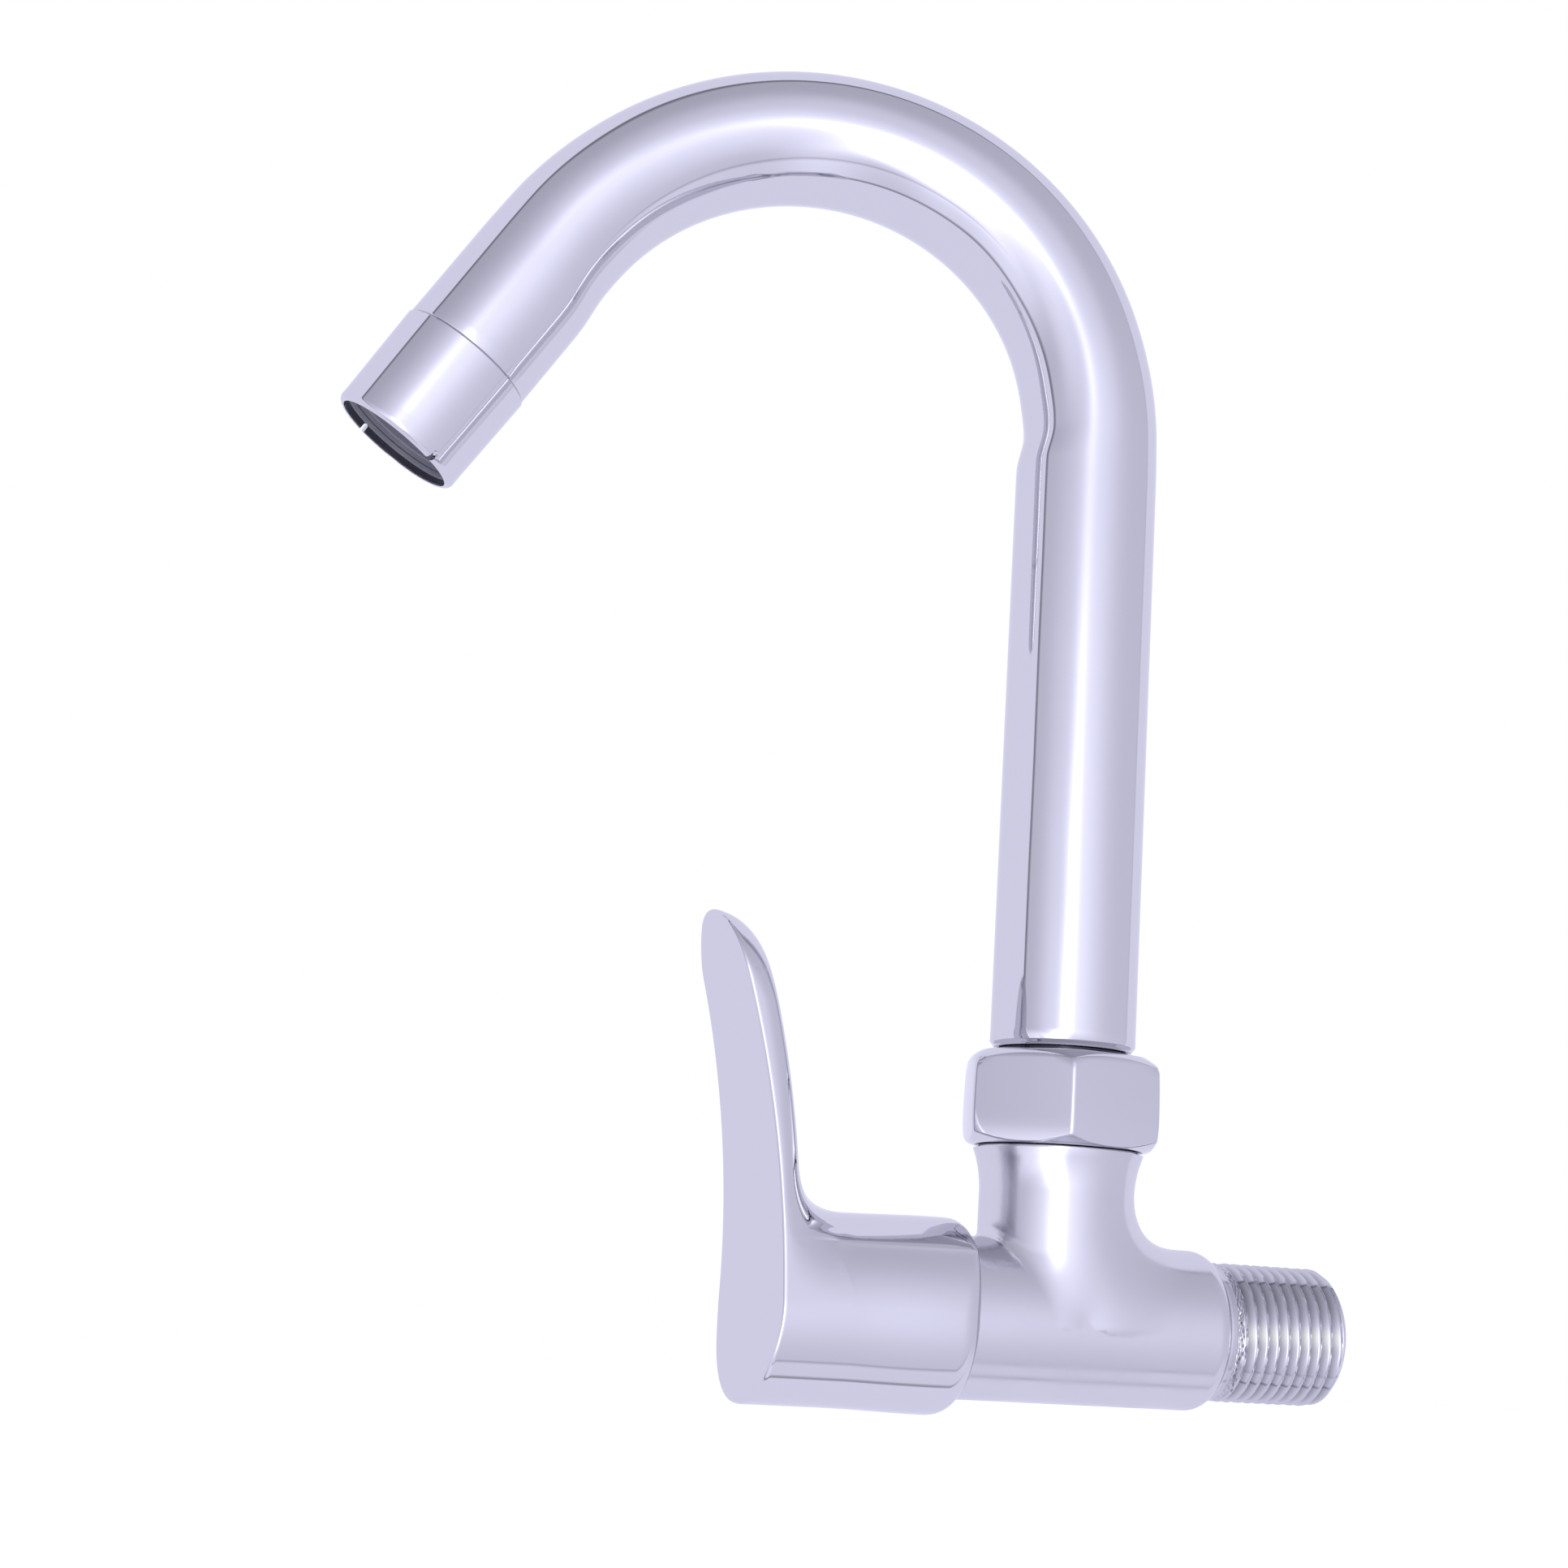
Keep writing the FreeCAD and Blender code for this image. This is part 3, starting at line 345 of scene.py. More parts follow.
def piece(name, points, faces, body, materials, index=0, sharp=42.0, skin=None,
          straight=None):
    """Makes one mesh of points in millimetres, turned outwards and shaded smooth.

    Where a field describes the skin, its slope gives the normals there. A bent piece may keep
    the places that its points would have if it were straight, for patterns that follow it."""
    points = points.reshape(-1, 3) * 0.001
    corner = points[faces]
    side = corner - corner[:, :1]
    flat = np.cross(side[:, 1], side[:, 2]) + np.cross(side[:, 2], side[:, 3])
    if (corner[:, 0] * flat).sum() < 0.0:
        faces = faces[:, ::-1]
    mesh = bpy.data.meshes.new(name)
    mesh.from_pydata(points.tolist(), [], faces.tolist())
    for material in materials:
        mesh.materials.append(material)
    index = np.broadcast_to(index, len(faces)).astype(np.int32)
    mesh.polygons.foreach_set("material_index", index)
    if straight is not None:
        kept = mesh.attributes.new("straight", "FLOAT_VECTOR", "POINT")
        kept.data.foreach_set("vector", np.ravel(straight) * 0.001)
    work = bmesh.new()
    work.from_mesh(mesh)
    bmesh.ops.remove_doubles(work, verts=work.verts, dist=2e-6)
    work.to_mesh(mesh)
    work.free()
    mesh.shade_smooth()
    mesh.set_sharp_from_angle(angle=math.radians(sharp))
    if skin is not None:
        follow_skin(mesh, skin)
    thing = put(name, mesh)
    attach(thing, body)
    return thing


def read(items, key, width, kind=float):
    """One attribute of a mesh's vertices, faces or corners as an array."""
    values = np.empty(len(items) * width, kind)
    items.foreach_get(key, values)
    return values.reshape(-1, width)


def follow_skin(mesh, skin):
    """Gives corners on the skin the direction in which its field grows fastest.

    The slope is a central difference over 0.02 mm. Corners of faces that turn away from it by
    more than 30 degrees belong to another surface and keep their own normals."""
    step, tolerance, cosine = 0.01, 0.004, 0.866
    spots = read(mesh.vertices, "co", 3) * 1000.0
    slope = joined(*(skin(spots + way) - skin(spots - way) for way in np.eye(3) * step))
    slope /= np.maximum(np.linalg.norm(slope, axis=1, keepdims=True), 1e-9)
    owner = read(mesh.loops, "vertex_index", 1, np.int32)[:, 0]
    corners = read(mesh.polygons, "loop_total", 1, np.int32)[:, 0]
    flat = np.repeat(read(mesh.polygons, "normal", 3), corners, axis=0)
    own = read(mesh.corner_normals, "vector", 3)
    on_skin = np.abs(skin(spots)) < tolerance
    agrees = on_skin[owner] & ((slope[owner] * flat).sum(1) > cosine)
    mesh.normals_split_custom_set(np.where(agrees[:, None], slope[owner], own).tolist())


# Body with its inlet thread

def body_field(b, p):
    """Distance from the cast tee: barrel and flared neck, joined by a soft crotch.

    The crotch is filled over a width that grows from the lever's side to the wall's, and
    shrinks with the sine of the angle between the two surfaces, so the sides stay smooth."""
    x, y, z = p[..., 0] - b.riser_x, p[..., 1], p[..., 2]
    around = np.hypot(y, z)
    beside = np.hypot(x, y)
    rise = b.flare_top - b.waist_top
    bow = bow_radius(rise, b.flare_r - b.waist_r)
    climb = np.clip(z - b.waist_top, 0.0, rise)
    neck_r = b.waist_r + bow - np.sqrt(bow ** 2 - climb ** 2)
    barrel = around - b.barrel_r
    neck = np.maximum(beside - neck_r, -z)
    cross = y * y / (np.maximum(around, 1e-6) * np.maximum(beside, 1e-6))
    sine = np.sqrt(np.clip(1.0 - cross ** 2, 0.0, 1.0))
    lever_side, wall_side, low, width_of_round = -9.5, 4.5, -3.0, 1.35
    rounding = b.crotch_lever + (b.crotch_wall - b.crotch_lever) * rising(x, lever_side, wall_side)
    width = width_of_round * rounding * sine * rising(z, low, 0.0)
    return round_min(barrel, neck, width)


def thread_radius(b, x, angle):
    """Radius of the inlet thread at a place along it and an angle round it.

    A ramp that moves one pitch per turn rises to its peak and falls faster. A narrow ridge,
    exp(-d^2), stands on it. The thread fades in over the first turn along a ragged edge, with
    small burrs before it, and ends in the chamfer."""
    peak, ridge, ridge_width, burr = 0.8, 0.83, 0.07, 0.16
    phase = x / b.thread_pitch - angle / TURN
    ramp = phase - np.floor(phase)
    slope = round_min(ramp / peak, (1.0 - ramp) / (1.0 - peak), 0.15)
    shape = 0.72 * slope + 0.36 * np.exp(-((ramp - ridge) / ridge_width) ** 2)
    ragged = (0.3 * np.sin(3.0 * angle + 1.0) + 0.22 * np.sin(8.0 * angle)
              + 0.15 * np.sin(19.0 * angle))
    depth = b.thread_depth * rising(x - ragged, 1.3, 2.2)
    burrs = np.sin(37.0 * angle + 11.0 * x) * np.sin(23.0 * angle - 17.0 * x)
    strip = rising(x, 0.5, 1.1) * falling(x - ragged, 1.6, 2.8)
    radius = b.thread_r - depth * (1.0 - np.clip(shape, 0.0, 1.0)) - burr * strip * (1.0 - burrs)
    chamfer = b.thread_r - np.maximum(x - (b.thread_end - b.thread_chamfer), 0.0)
    return np.minimum(radius, chamfer)


def build_body(b, chrome, chrome_thread):
    """One closed surface: the barrel turned about X with its neck grown from a window in it."""
    columns, half_window, blunt, bore_foot = 180, 42, 0.3, 15.0
    angle = np.arange(columns) * TURN / columns
    centre = np.array([b.riser_x, 0.0, 0.0])

    def about_x(x, r):
        return joined(x, r * np.cos(angle), r * np.sin(angle))

    def field(p):
        return body_field(b, p)

    # The outside, where rays from the tee's centre leave the field
    window = np.arange(-17.0, 18.01, 0.5) + b.riser_x
    head = route([b.front_x + blunt, window[0]], (12,))[:, 0]
    tail = route([window[-1], -b.shoulder], (6,), True)[1:, 0]
    stations = np.concatenate([head, window, tail])[:, None]
    outside = first_crossing(field, centre, about_x(stations, b.barrel_r), 0.9, 3.0, 24)
    # The shoulder, the thread, the mouth, the bore and the chamber
    shoulder_r = b.barrel_r - b.shoulder
    stop = math.degrees(math.asin((b.thread_r - shoulder_r) / b.shoulder))
    shoulder = arc((-b.shoulder, shoulder_r), b.shoulder, 90.0, stop, 12)[1:]
    thread_x = np.linspace(shoulder[-1, 0], b.thread_end, 232)[1:, None]
    inside = np.concatenate([
        route([(b.thread_end, b.inlet_r + b.inlet_chamfer),
               (b.thread_end - b.inlet_chamfer, b.inlet_r), (b.seat_x, b.inlet_r),
               (b.seat_x, b.chamber_r), (b.chamber_x, b.chamber_r),
               (b.chamber_x, b.cartridge_r), (b.front_x, b.cartridge_r),
               (b.front_x, b.barrel_r - blunt)], (4, 5, 4, 3, 3, 3, 4)),
        arc((b.front_x + blunt, b.barrel_r - blunt), blunt, 180.0, 90.0, 5)[:-1]])
    barrel = np.concatenate([outside, about_x(*shoulder.T[..., None]),
                             about_x(thread_x, thread_radius(b, thread_x, angle)),
                             about_x(*inside.T[..., None])])
    # The window is left out of the barrel's faces, and its edge is walked once round
    grid = numbered(barrel)
    r0, r1 = len(head), len(head) + len(window) - 1
    c0, c1 = columns // 4 - half_window, columns // 4 + half_window
    keep = np.ones(grid.shape, bool)
    keep[r0:r1, c0:c1] = False
    slots = np.zeros(grid.shape, int)
    first = len(outside) + len(shoulder) + 3
    slots[first:first + len(thread_x)] = 1
    edge = np.concatenate([grid[r0, c0:c1], grid[r0:r1, c1], grid[r1, c1:c0:-1],
                           grid[r1:r0:-1, c0]])
    rim = barrel.reshape(-1, 3)[edge]
    # The neck's foot, from that edge to the flare, then the flare's top and the bore
    plan = np.arctan2(rim[:, 1], rim[:, 0] - b.riser_x)
    profile = route([(b.flare_top, b.flare_r), (b.flare_top, b.neck_thread_r),
                     (b.neck_top, b.neck_thread_r), (b.neck_top, b.neck_bore_r),
                     (bore_foot, b.neck_bore_r), (bore_foot, 0.0)], (3, 6, 3, 6, 5), True)
    neck = lathe(profile, plan) + centre
    share = (np.linspace(0.0, 1.0, 56)[1:-1] ** 0.92)[:, None, None]
    foot = first_crossing(field, centre, rim * (1.0 - share) + neck[0] * share, 0.25, 3.0, 48)
    grown = np.concatenate([foot, neck])
    joint = np.concatenate([edge[None], grid.size + numbered(grown)])
    faces = np.concatenate([grid_faces(grid, True, True)[keep.ravel()],
                            grid_faces(joint, False, True)])
    slots = np.concatenate([slots[keep], np.zeros(numbered(grown).size, int)])
    points = np.concatenate([barrel.reshape(-1, 3), grown.reshape(-1, 3)])
    thing = piece("cast_body", points, faces, "root", [chrome, chrome_thread],
                  slots, skin=field)
    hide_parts("valve_body")


# Spout tube

def tube_radii(s, along, inset):
    """Half widths of the tube at a distance along it.

    They are the tube's radius less the flattening on the bend's inner side and on its outer
    side, and the radius plus the widening across the bend. The outer side and the width change
    over a long run, and the inner side over a few millimetres where the bending tool ends."""
    start, end = s.riser, s.riser + s.bend_r * s.bend
    tool_in, tool_out, before, after = 5.5, 11.0, 8.0, 16.0
    sharp = rising(along, start - tool_in, start) * falling(along, end, end + tool_out)
    slow = (rising(along, start - before, start + after)
            * falling(along, end - after, end + before))
    radius = s.tube_r - inset
    return radius - s.flatten * sharp, radius - s.flatten * slow, radius + s.widen * slow


def tube_path(s, along):
    """Middle of the tube and the angle it has turned, at a distance along it."""
    start, end = s.riser, s.riser + s.bend_r * s.bend
    angle = np.clip((along - start) / s.bend_r, 0.0, s.bend)
    before = np.minimum(along, start)
    after = np.maximum(along - end, 0.0)
    x = -s.bend_r * (1.0 - np.cos(angle)) - after * np.sin(angle)
    z = s.foot + before + s.bend_r * np.sin(angle) + after * np.cos(angle)
    return x, z, angle


def swing(s, b, points):
    """Swings points round the riser with the spout, and places them on it."""
    c, d = math.cos(s.swing), math.sin(s.swing)
    x, y, z = np.moveaxis(points, -1, 0)
    return joined(x * c - y * d + b.riser_x, x * d + y * c, z)


def build_spout(s, b, chrome):
    """An oval carried along the swan neck, outside and back inside, closed by round lips.

    A bevel runs round the foot, over the gap above the nut. The bending tool leaves a shallow
    mark, exp(-d^2), on the inner side near each end of the bend."""
    lip, near, far = 0.3, 9.0, 14.0
    start, end = s.riser, s.riser + s.bend_r * s.bend
    total = end + s.tail
    outer = route([lip, lip + s.bevel, start - near, start + far, end - far, end + near,
                   total - lip], (4, 54, 56, 90, 56, 10), True)[:, 0]
    bevel = (s.wall - 2.0 * lip) * np.clip(1.0 - (outer - lip) / s.bevel, 0.0, 1.0)
    walk = np.concatenate([
        joined(outer, bevel),
        arc((total - lip, lip), lip, -90.0, 0.0, 5)[1:-1],
        arc((total - lip, s.wall - lip), lip, 0.0, 90.0, 5)[:-1],
        joined(np.linspace(total - lip, lip, 70), s.wall),
        arc((lip, s.wall - lip), lip, 90.0, 270.0, 10)[1:-1]])
    along, inset = walk.T[..., None]
    theta = np.arange(144) * TURN / 144
    cosine, sine = np.cos(theta), np.sin(theta)
    inner_side, outer_side, across = tube_radii(s, along, inset)
    x, z, angle = tube_path(s, along)
    mark = (np.exp(-((along - start - 0.5) / 4.2) ** 2)
            + 0.6 * np.exp(-((along - end - 4.0) / 3.8) ** 2))
    side = np.where(cosine < 0.0, inner_side, outer_side)
    reach = (side - s.dent * mark * np.clip(-cosine, 0.0, 1.0) ** 3) * cosine
    points = joined(x + reach * np.cos(angle), across * sine, z + reach * np.sin(angle))
    thing = piece("swan_neck_tube", swing(s, b, points), grid_faces(numbered(points), True, True),
                  "spout", [chrome], straight=joined(along, reach, across * sine))
    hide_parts("spout_tube")


# Outlet collar and its screen

def to_outlet(s, b, points):
    """Moves points from the outlet's own axis, which starts at the collar's seam, to the tap."""
    x, z, angle = tube_path(s, np.array(s.riser + s.bend_r * s.bend + s.tail))
    c, d = math.cos(angle), math.sin(angle)
    px, py, pz = np.moveaxis(points, -1, 0)
    return swing(s, b, joined(x + px * c - pz * d, py, z + px * d + pz * c))


def build_collar(s, b, chrome, insert, grey):
    """The collar's profile turned about its axis, with two round-ended notches in the rim.

    The mouth narrows in three small steps, dark and grey by turns, down to the ledge; the dark
    faces are painted shade in the mouth. A notch lowers the rim by its depth less the round of its
    end."""
    seam, edge = 0.25, 0.15
    deep, wall, rim_r = s.collar - s.mouth, s.collar_bore_r, s.collar_r - s.taper
    lip = rim_r - s.rim - wall
    profile = np.concatenate([
        route([(0.0, s.collar_r - seam), (seam, s.collar_r), (s.collar - 3.0, rim_r),
               (s.collar - s.rim, rim_r)], (3, 14, 12)),
        arc((s.collar - s.rim, rim_r - s.rim), s.rim, 90.0, 0.0, 12),
        arc((s.collar - lip, wall + lip), lip, 0.0, -90.0, 6),
        route([(s.collar - 0.3, wall), (deep + 1.5, wall), (deep + 1.4, wall - 0.35),
               (deep + 0.8, wall - 0.4), (deep + 0.7, wall - 0.7), (deep, wall - 0.75),
               (deep, s.ledge_r + edge)], (4, 2, 4, 2, 4, 5)),
        arc((deep - edge, s.ledge_r + edge), edge, 0.0, -90.0, 4),
        route([(deep - 0.2, s.ledge_r), (deep - s.ledge_t, s.ledge_r), (deep - s.ledge_t, wall),
               (0.0, wall), (0.0, s.collar_r - seam)], (4, 3, 16, 3))])
    # Painted shade: the bore wall and one step of the mouth take the near-black slot
    slots = np.zeros(len(profile), int)
    slots[51:79] = 2
    slots[47:51] = slots[57:59] = 1
    even = np.arange(220) * TURN / 220
    width = 0.8 * s.notch_w / s.collar_r
    fine = s.notch + np.linspace(-width, width, 60)
    angles = np.unique(np.round(np.concatenate([even, fine % TURN, (fine + math.pi) % TURN]), 7))
    offset = np.abs(np.angle(np.exp(2j * (angles - s.notch)))) / 2.0 * s.collar_r
    half = s.notch_w / 2.0
    floor = s.notch_d - half + np.sqrt(np.clip(half ** 2 - offset ** 2, 0.0, None))
    depth = np.where(offset < half, floor, 0.0)
    height, radius = profile.T[..., None]
    share = rising(height, s.collar - 2.0, s.collar)
    height = height - depth * share * (radius > wall - 0.05)
    points = joined(radius * np.cos(angles), radius * np.sin(angles), height)
    thing = piece("outlet_collar", to_outlet(s, b, points),
                  grid_faces(numbered(points), True, True), "spout",
                  [chrome, insert, grey], np.repeat(slots, len(angles)))
    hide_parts("aerator_shell")


def build_screen(s, b, steel):
    """A plain weave: each wire is a six-sided rod whose height follows a cosine over its pitch.

    Wires of one direction rise where those of the other sink."""
    count = int(s.screen_r / s.mesh)
    around = np.arange(6) * TURN / 6
    thick = 0.5 * s.wire
    blocks, faces, used = [], [], 0
    for direction in (0, 1):
        for index, offset in enumerate(np.arange(-count, count + 1) * s.mesh):
            reach = math.sqrt(max((s.screen_r - 0.2) ** 2 - offset ** 2, 0.01))
            t = np.linspace(-reach, reach, max(int(reach * 7), 6))[:, None]
            lift = thick * np.cos(math.pi * t / s.mesh + math.pi * (index + direction))
            pair = (t, offset + thick * np.cos(around))
            wire = joined(*pair[::-1 if direction else 1],
                          s.screen_s + lift + thick * np.sin(around))
            ends = np.repeat(wire[[0, -1]].mean(1, keepdims=True), 6, 1)
            wire = np.concatenate([ends[:1], wire, ends[1:]])
            blocks.append(wire.reshape(-1, 3))
            quads = grid_faces(numbered(wire), False, True) + used
            faces.append(quads[:, ::-1 if direction else 1])
            used += len(blocks[-1])
    thing = piece("woven_screen", to_outlet(s, b, np.concatenate(blocks)), np.concatenate(faces),
                  "spout", [steel], sharp=70.0)
    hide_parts("lower_screen")


# Nut

def nut_radius(n, angle, height):
    """Radius of the nut at an angle and a height.

    Each flat stands half the size across flats from the axis and bulges as the square of the
    distance from its middle. It rolls in near the top, and a little near the foot. The nut is
    the least of the six flats, with corners rounded, of a cone with a round foot, and of a
    softer cone at the top."""
    corner, half_side, sag = TURN / 6, 8.2, 0.16
    roll_height, roll_depth, curl_height, curl_depth = 5.0, 0.45, 0.7, 0.6
    top_soft, foot_soft = 1.1, 0.3
    high = np.clip(height - (n.top - n.top_round), 0.0, n.top_round)
    bulge = (height - n.foot - roll_height) / (n.top - n.foot)
    roll = np.clip((n.foot + roll_height - height) / roll_height, 0.0, 1.0)
    local = (angle - n.corner) % corner
    aside = n.half * np.tan(local - corner / 2) / half_side
    flat = (n.half - n.top_round + np.sqrt(n.top_round ** 2 - high ** 2) - n.pillow * bulge ** 2
            - roll_depth * roll ** 2.5 - sag * aside ** 2)
    first = flat / np.cos(local - corner / 2)
    near = np.minimum(local, corner - local)
    second = flat / np.maximum(np.cos(near + corner / 2), 0.1)
    soft = n.edge_round * (1.0 + 1.5 * rising(high, 0.0, n.top_round))
    curl = 1.0 - np.clip((height - n.foot) / curl_height, 0.0, 1.0)
    lower = (n.foot_r + (height - n.foot) / math.tan(n.cone)
             - curl_depth * (1.0 - np.sqrt(1.0 - curl ** 2)))
    upper = n.top_r + (n.top - height) / math.tan(n.cone)
    sides = round_min(first, second, soft)
    return round_min(round_min(sides, upper, top_soft), lower, foot_soft)


def build_nut(n, b, chrome):
    """The nut's outside by its radius, then its lip, hole and thread bore, closed at the foot."""
    corner, close, lip, foot = TURN / 6, 0.12, 0.4, 0.3
    local = route([0.0, close, corner - close, corner], (22, 30, 22))[:, 0]
    angles = (n.corner + np.arange(6)[:, None] * corner + local).reshape(-1)
    shoulder = n.top - n.top_round
    heights = np.concatenate([route([n.foot, n.foot + 2.6, shoulder], (44, 12))[:, 0],
                              shoulder + n.top_round * np.sin(np.linspace(0.0, TURN / 4, 26))])
    heights = heights[:, None]
    radius = nut_radius(n, angles, heights)
    share = np.linspace(0.0, 1.0, 6)[1:, None]
    flat_r = radius[-1] * (1.0 - share) + (n.hole_r + lip) * share
    radius = np.concatenate([radius, flat_r])
    heights = np.concatenate([heights, np.full(share.shape, n.top)])
    inside = np.concatenate([
        arc((n.top - lip, n.hole_r + lip), lip, 0.0, -90.0, 5)[1:],
        route([(n.top - 0.5, n.hole_r), (n.lip, n.hole_r), (n.lip, n.bore_r),
               (n.foot + foot, n.bore_r), (n.foot, n.bore_r + foot)], (3, 3, 5, 3), True)])
    points = np.concatenate([joined(radius * np.cos(angles), radius * np.sin(angles), heights),
                             lathe(inside, angles)]) + np.array([b.riser_x, 0.0, 0.0])
    thing = piece("hexagon_nut", points, grid_faces(numbered(points), True, True), "root",
                  [chrome])
    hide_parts("swivel_nut")


# Lever

# Height where the paddle's sides take over from the round foot, and how far above its
# middle the round tip takes over from the sides
SIDE_FROM, TIP_FROM = 1.2, 0.8


def paddle_half(v, z):
    """Half width of the paddle at a height: a straight taper, drawn in a little midway."""
    low_z, high_z, spare = 2.0, v.height - v.tip_r, 0.04
    low_y, high_y = math.sqrt(v.foot_r ** 2 - low_z ** 2), v.tip_r + spare
    share = (z - low_z) / (high_z - low_z)
    return low_y + (high_y - low_y) * share - 4.0 * v.waist_drop * share * (1.0 - share)


def paddle_outline(v, y, z):
    """Distance from the lever's front view: round foot, tapered sides and a round tip."""
    middle = v.height - v.tip_r
    side = (np.abs(y) - paddle_half(v, z)) * 0.996
    upper = np.where(z > middle + TIP_FROM, np.hypot(y, z - middle) - v.tip_r, side)
    return np.where(z > SIDE_FROM, upper, np.hypot(y, z) - v.foot_r)


def paddle_depth(v, x, z):
    """Depth behind the front face, which leans forward on a large arc above the axis."""
    ahead = x - (v.face_x - v.lean_r)
    below = ahead + v.foot_lean * (np.minimum(z, 0.0) / v.foot_r) ** 2
    return np.where(z > 0.0, np.hypot(ahead, z), below) - v.lean_r


def hub_section(v, y, z, radius):
    """Distance from the hub's section: round below the axis, with two soft corners above it.

    Above the axis a crown and a flatter side meet in each corner. Both are arcs: the crown
    passes through the top of the circle and the corner, and the side leaves the circle level
    with the axis. A shallow hollow runs under each corner: s e^(1 - s) of the depth s below."""
    crown_r = bow_radius(v.corner_y, v.foot_r - v.corner_z) - v.foot_r
    side_r = bow_radius(v.corner_z, v.foot_r - v.corner_y) - v.foot_r
    crown = np.hypot(y, z + crown_r) - crown_r - radius
    side = np.hypot(np.abs(y) + side_r, z) - side_r - radius
    hollow_height, corner_soft = 1.1, 0.2
    under = np.clip((v.corner_z - z) / hollow_height, 0.0, 9.0)
    side = side + v.hollow * under * np.exp(1.0 - under)
    return np.where(z > 0.0, round_max(crown, side, corner_soft), np.hypot(y, z) - radius)


def lever_field(v, p):
    """Distance from the lever.

    The hub and the paddle's crowned back are joined by a soft fillet. That shape is cut by the
    front view's outline, by the face and by the hub's rear end, each with its own rounding.
    Behind the face the outline slides in until it lies on the hub's side, and the rounding of
    the rear edge fades out where the two run together."""
    x, y, z = np.moveaxis(p, -1, 0)
    depth = paddle_depth(v, x, z)
    draft = (v.hub_r - v.foot_r) * rising(x, v.face_x + v.thickness + 6.0, v.back_x - 3.0)
    height = np.clip(z, 0.0, v.corner_z)
    side_r = bow_radius(v.corner_z, v.foot_r - v.corner_y)
    step = paddle_half(v, height) - np.sqrt(side_r ** 2 - height ** 2) + side_r - v.foot_r
    step = 0.9 * step * falling(z, 16.0, 36.0) * rising(depth, 0.8, 8.8)
    outline = paddle_outline(v, y, z) - draft + step * (z > 0.0)
    wall = hub_section(v, y, z, v.foot_r + draft)
    soft = v.edge_round + (v.foot_round - v.edge_round) * rising(-z, 6.0, 14.0)
    front = round_max(-depth, outline, soft)
    back = np.hypot(depth + v.crown_r - v.thickness, y) - v.crown_r
    inside = round_min(wall, back, v.root_round)
    apart = rising(wall - outline, 0.0, 2.4)
    tip = v.tip_edge * rising(z, v.height - 14.0, v.height - 2.0)
    edge = (v.back_edge + tip) * apart * falling(depth - v.thickness, 4.0, 10.0)
    rear = v.back_round * (1.17 - 0.72 * rising(z, 0.0, 11.0))
    return round_max(round_max(front, inside, edge), x - v.back_x, rear)


def lever_outline(v, count):
    """Points of the front view at even steps round it, closer together by the soft corner."""
    middle = v.height - v.tip_r
    z = np.linspace(SIDE_FROM, middle + TIP_FROM, 400)
    half = np.concatenate([arc((0.0, 0.0), v.foot_r, -90.0, 4.0, 400),
                           joined(paddle_half(v, z), z),
                           arc((0.0, middle), v.tip_r, 5.0, 90.0, 400)])
    half = half[np.argsort(np.arctan2(half[:, 1], half[:, 0]))]
    steps = np.concatenate([[0.0], np.cumsum(np.hypot(*np.diff(half, axis=0).T))])
    corner = np.interp(math.atan2(v.corner_z, v.corner_y),
                       np.arctan2(half[:, 1], half[:, 0]), steps)
    even = np.union1d(np.linspace(0.0, steps[-1], count + 1),
                      corner + np.linspace(-1.6, 2.4, 31))
    right = joined(*(np.interp(even, steps, side) for side in half.T))
    return np.concatenate([right, right[-2:0:-1] * (-1.0, 1.0)])


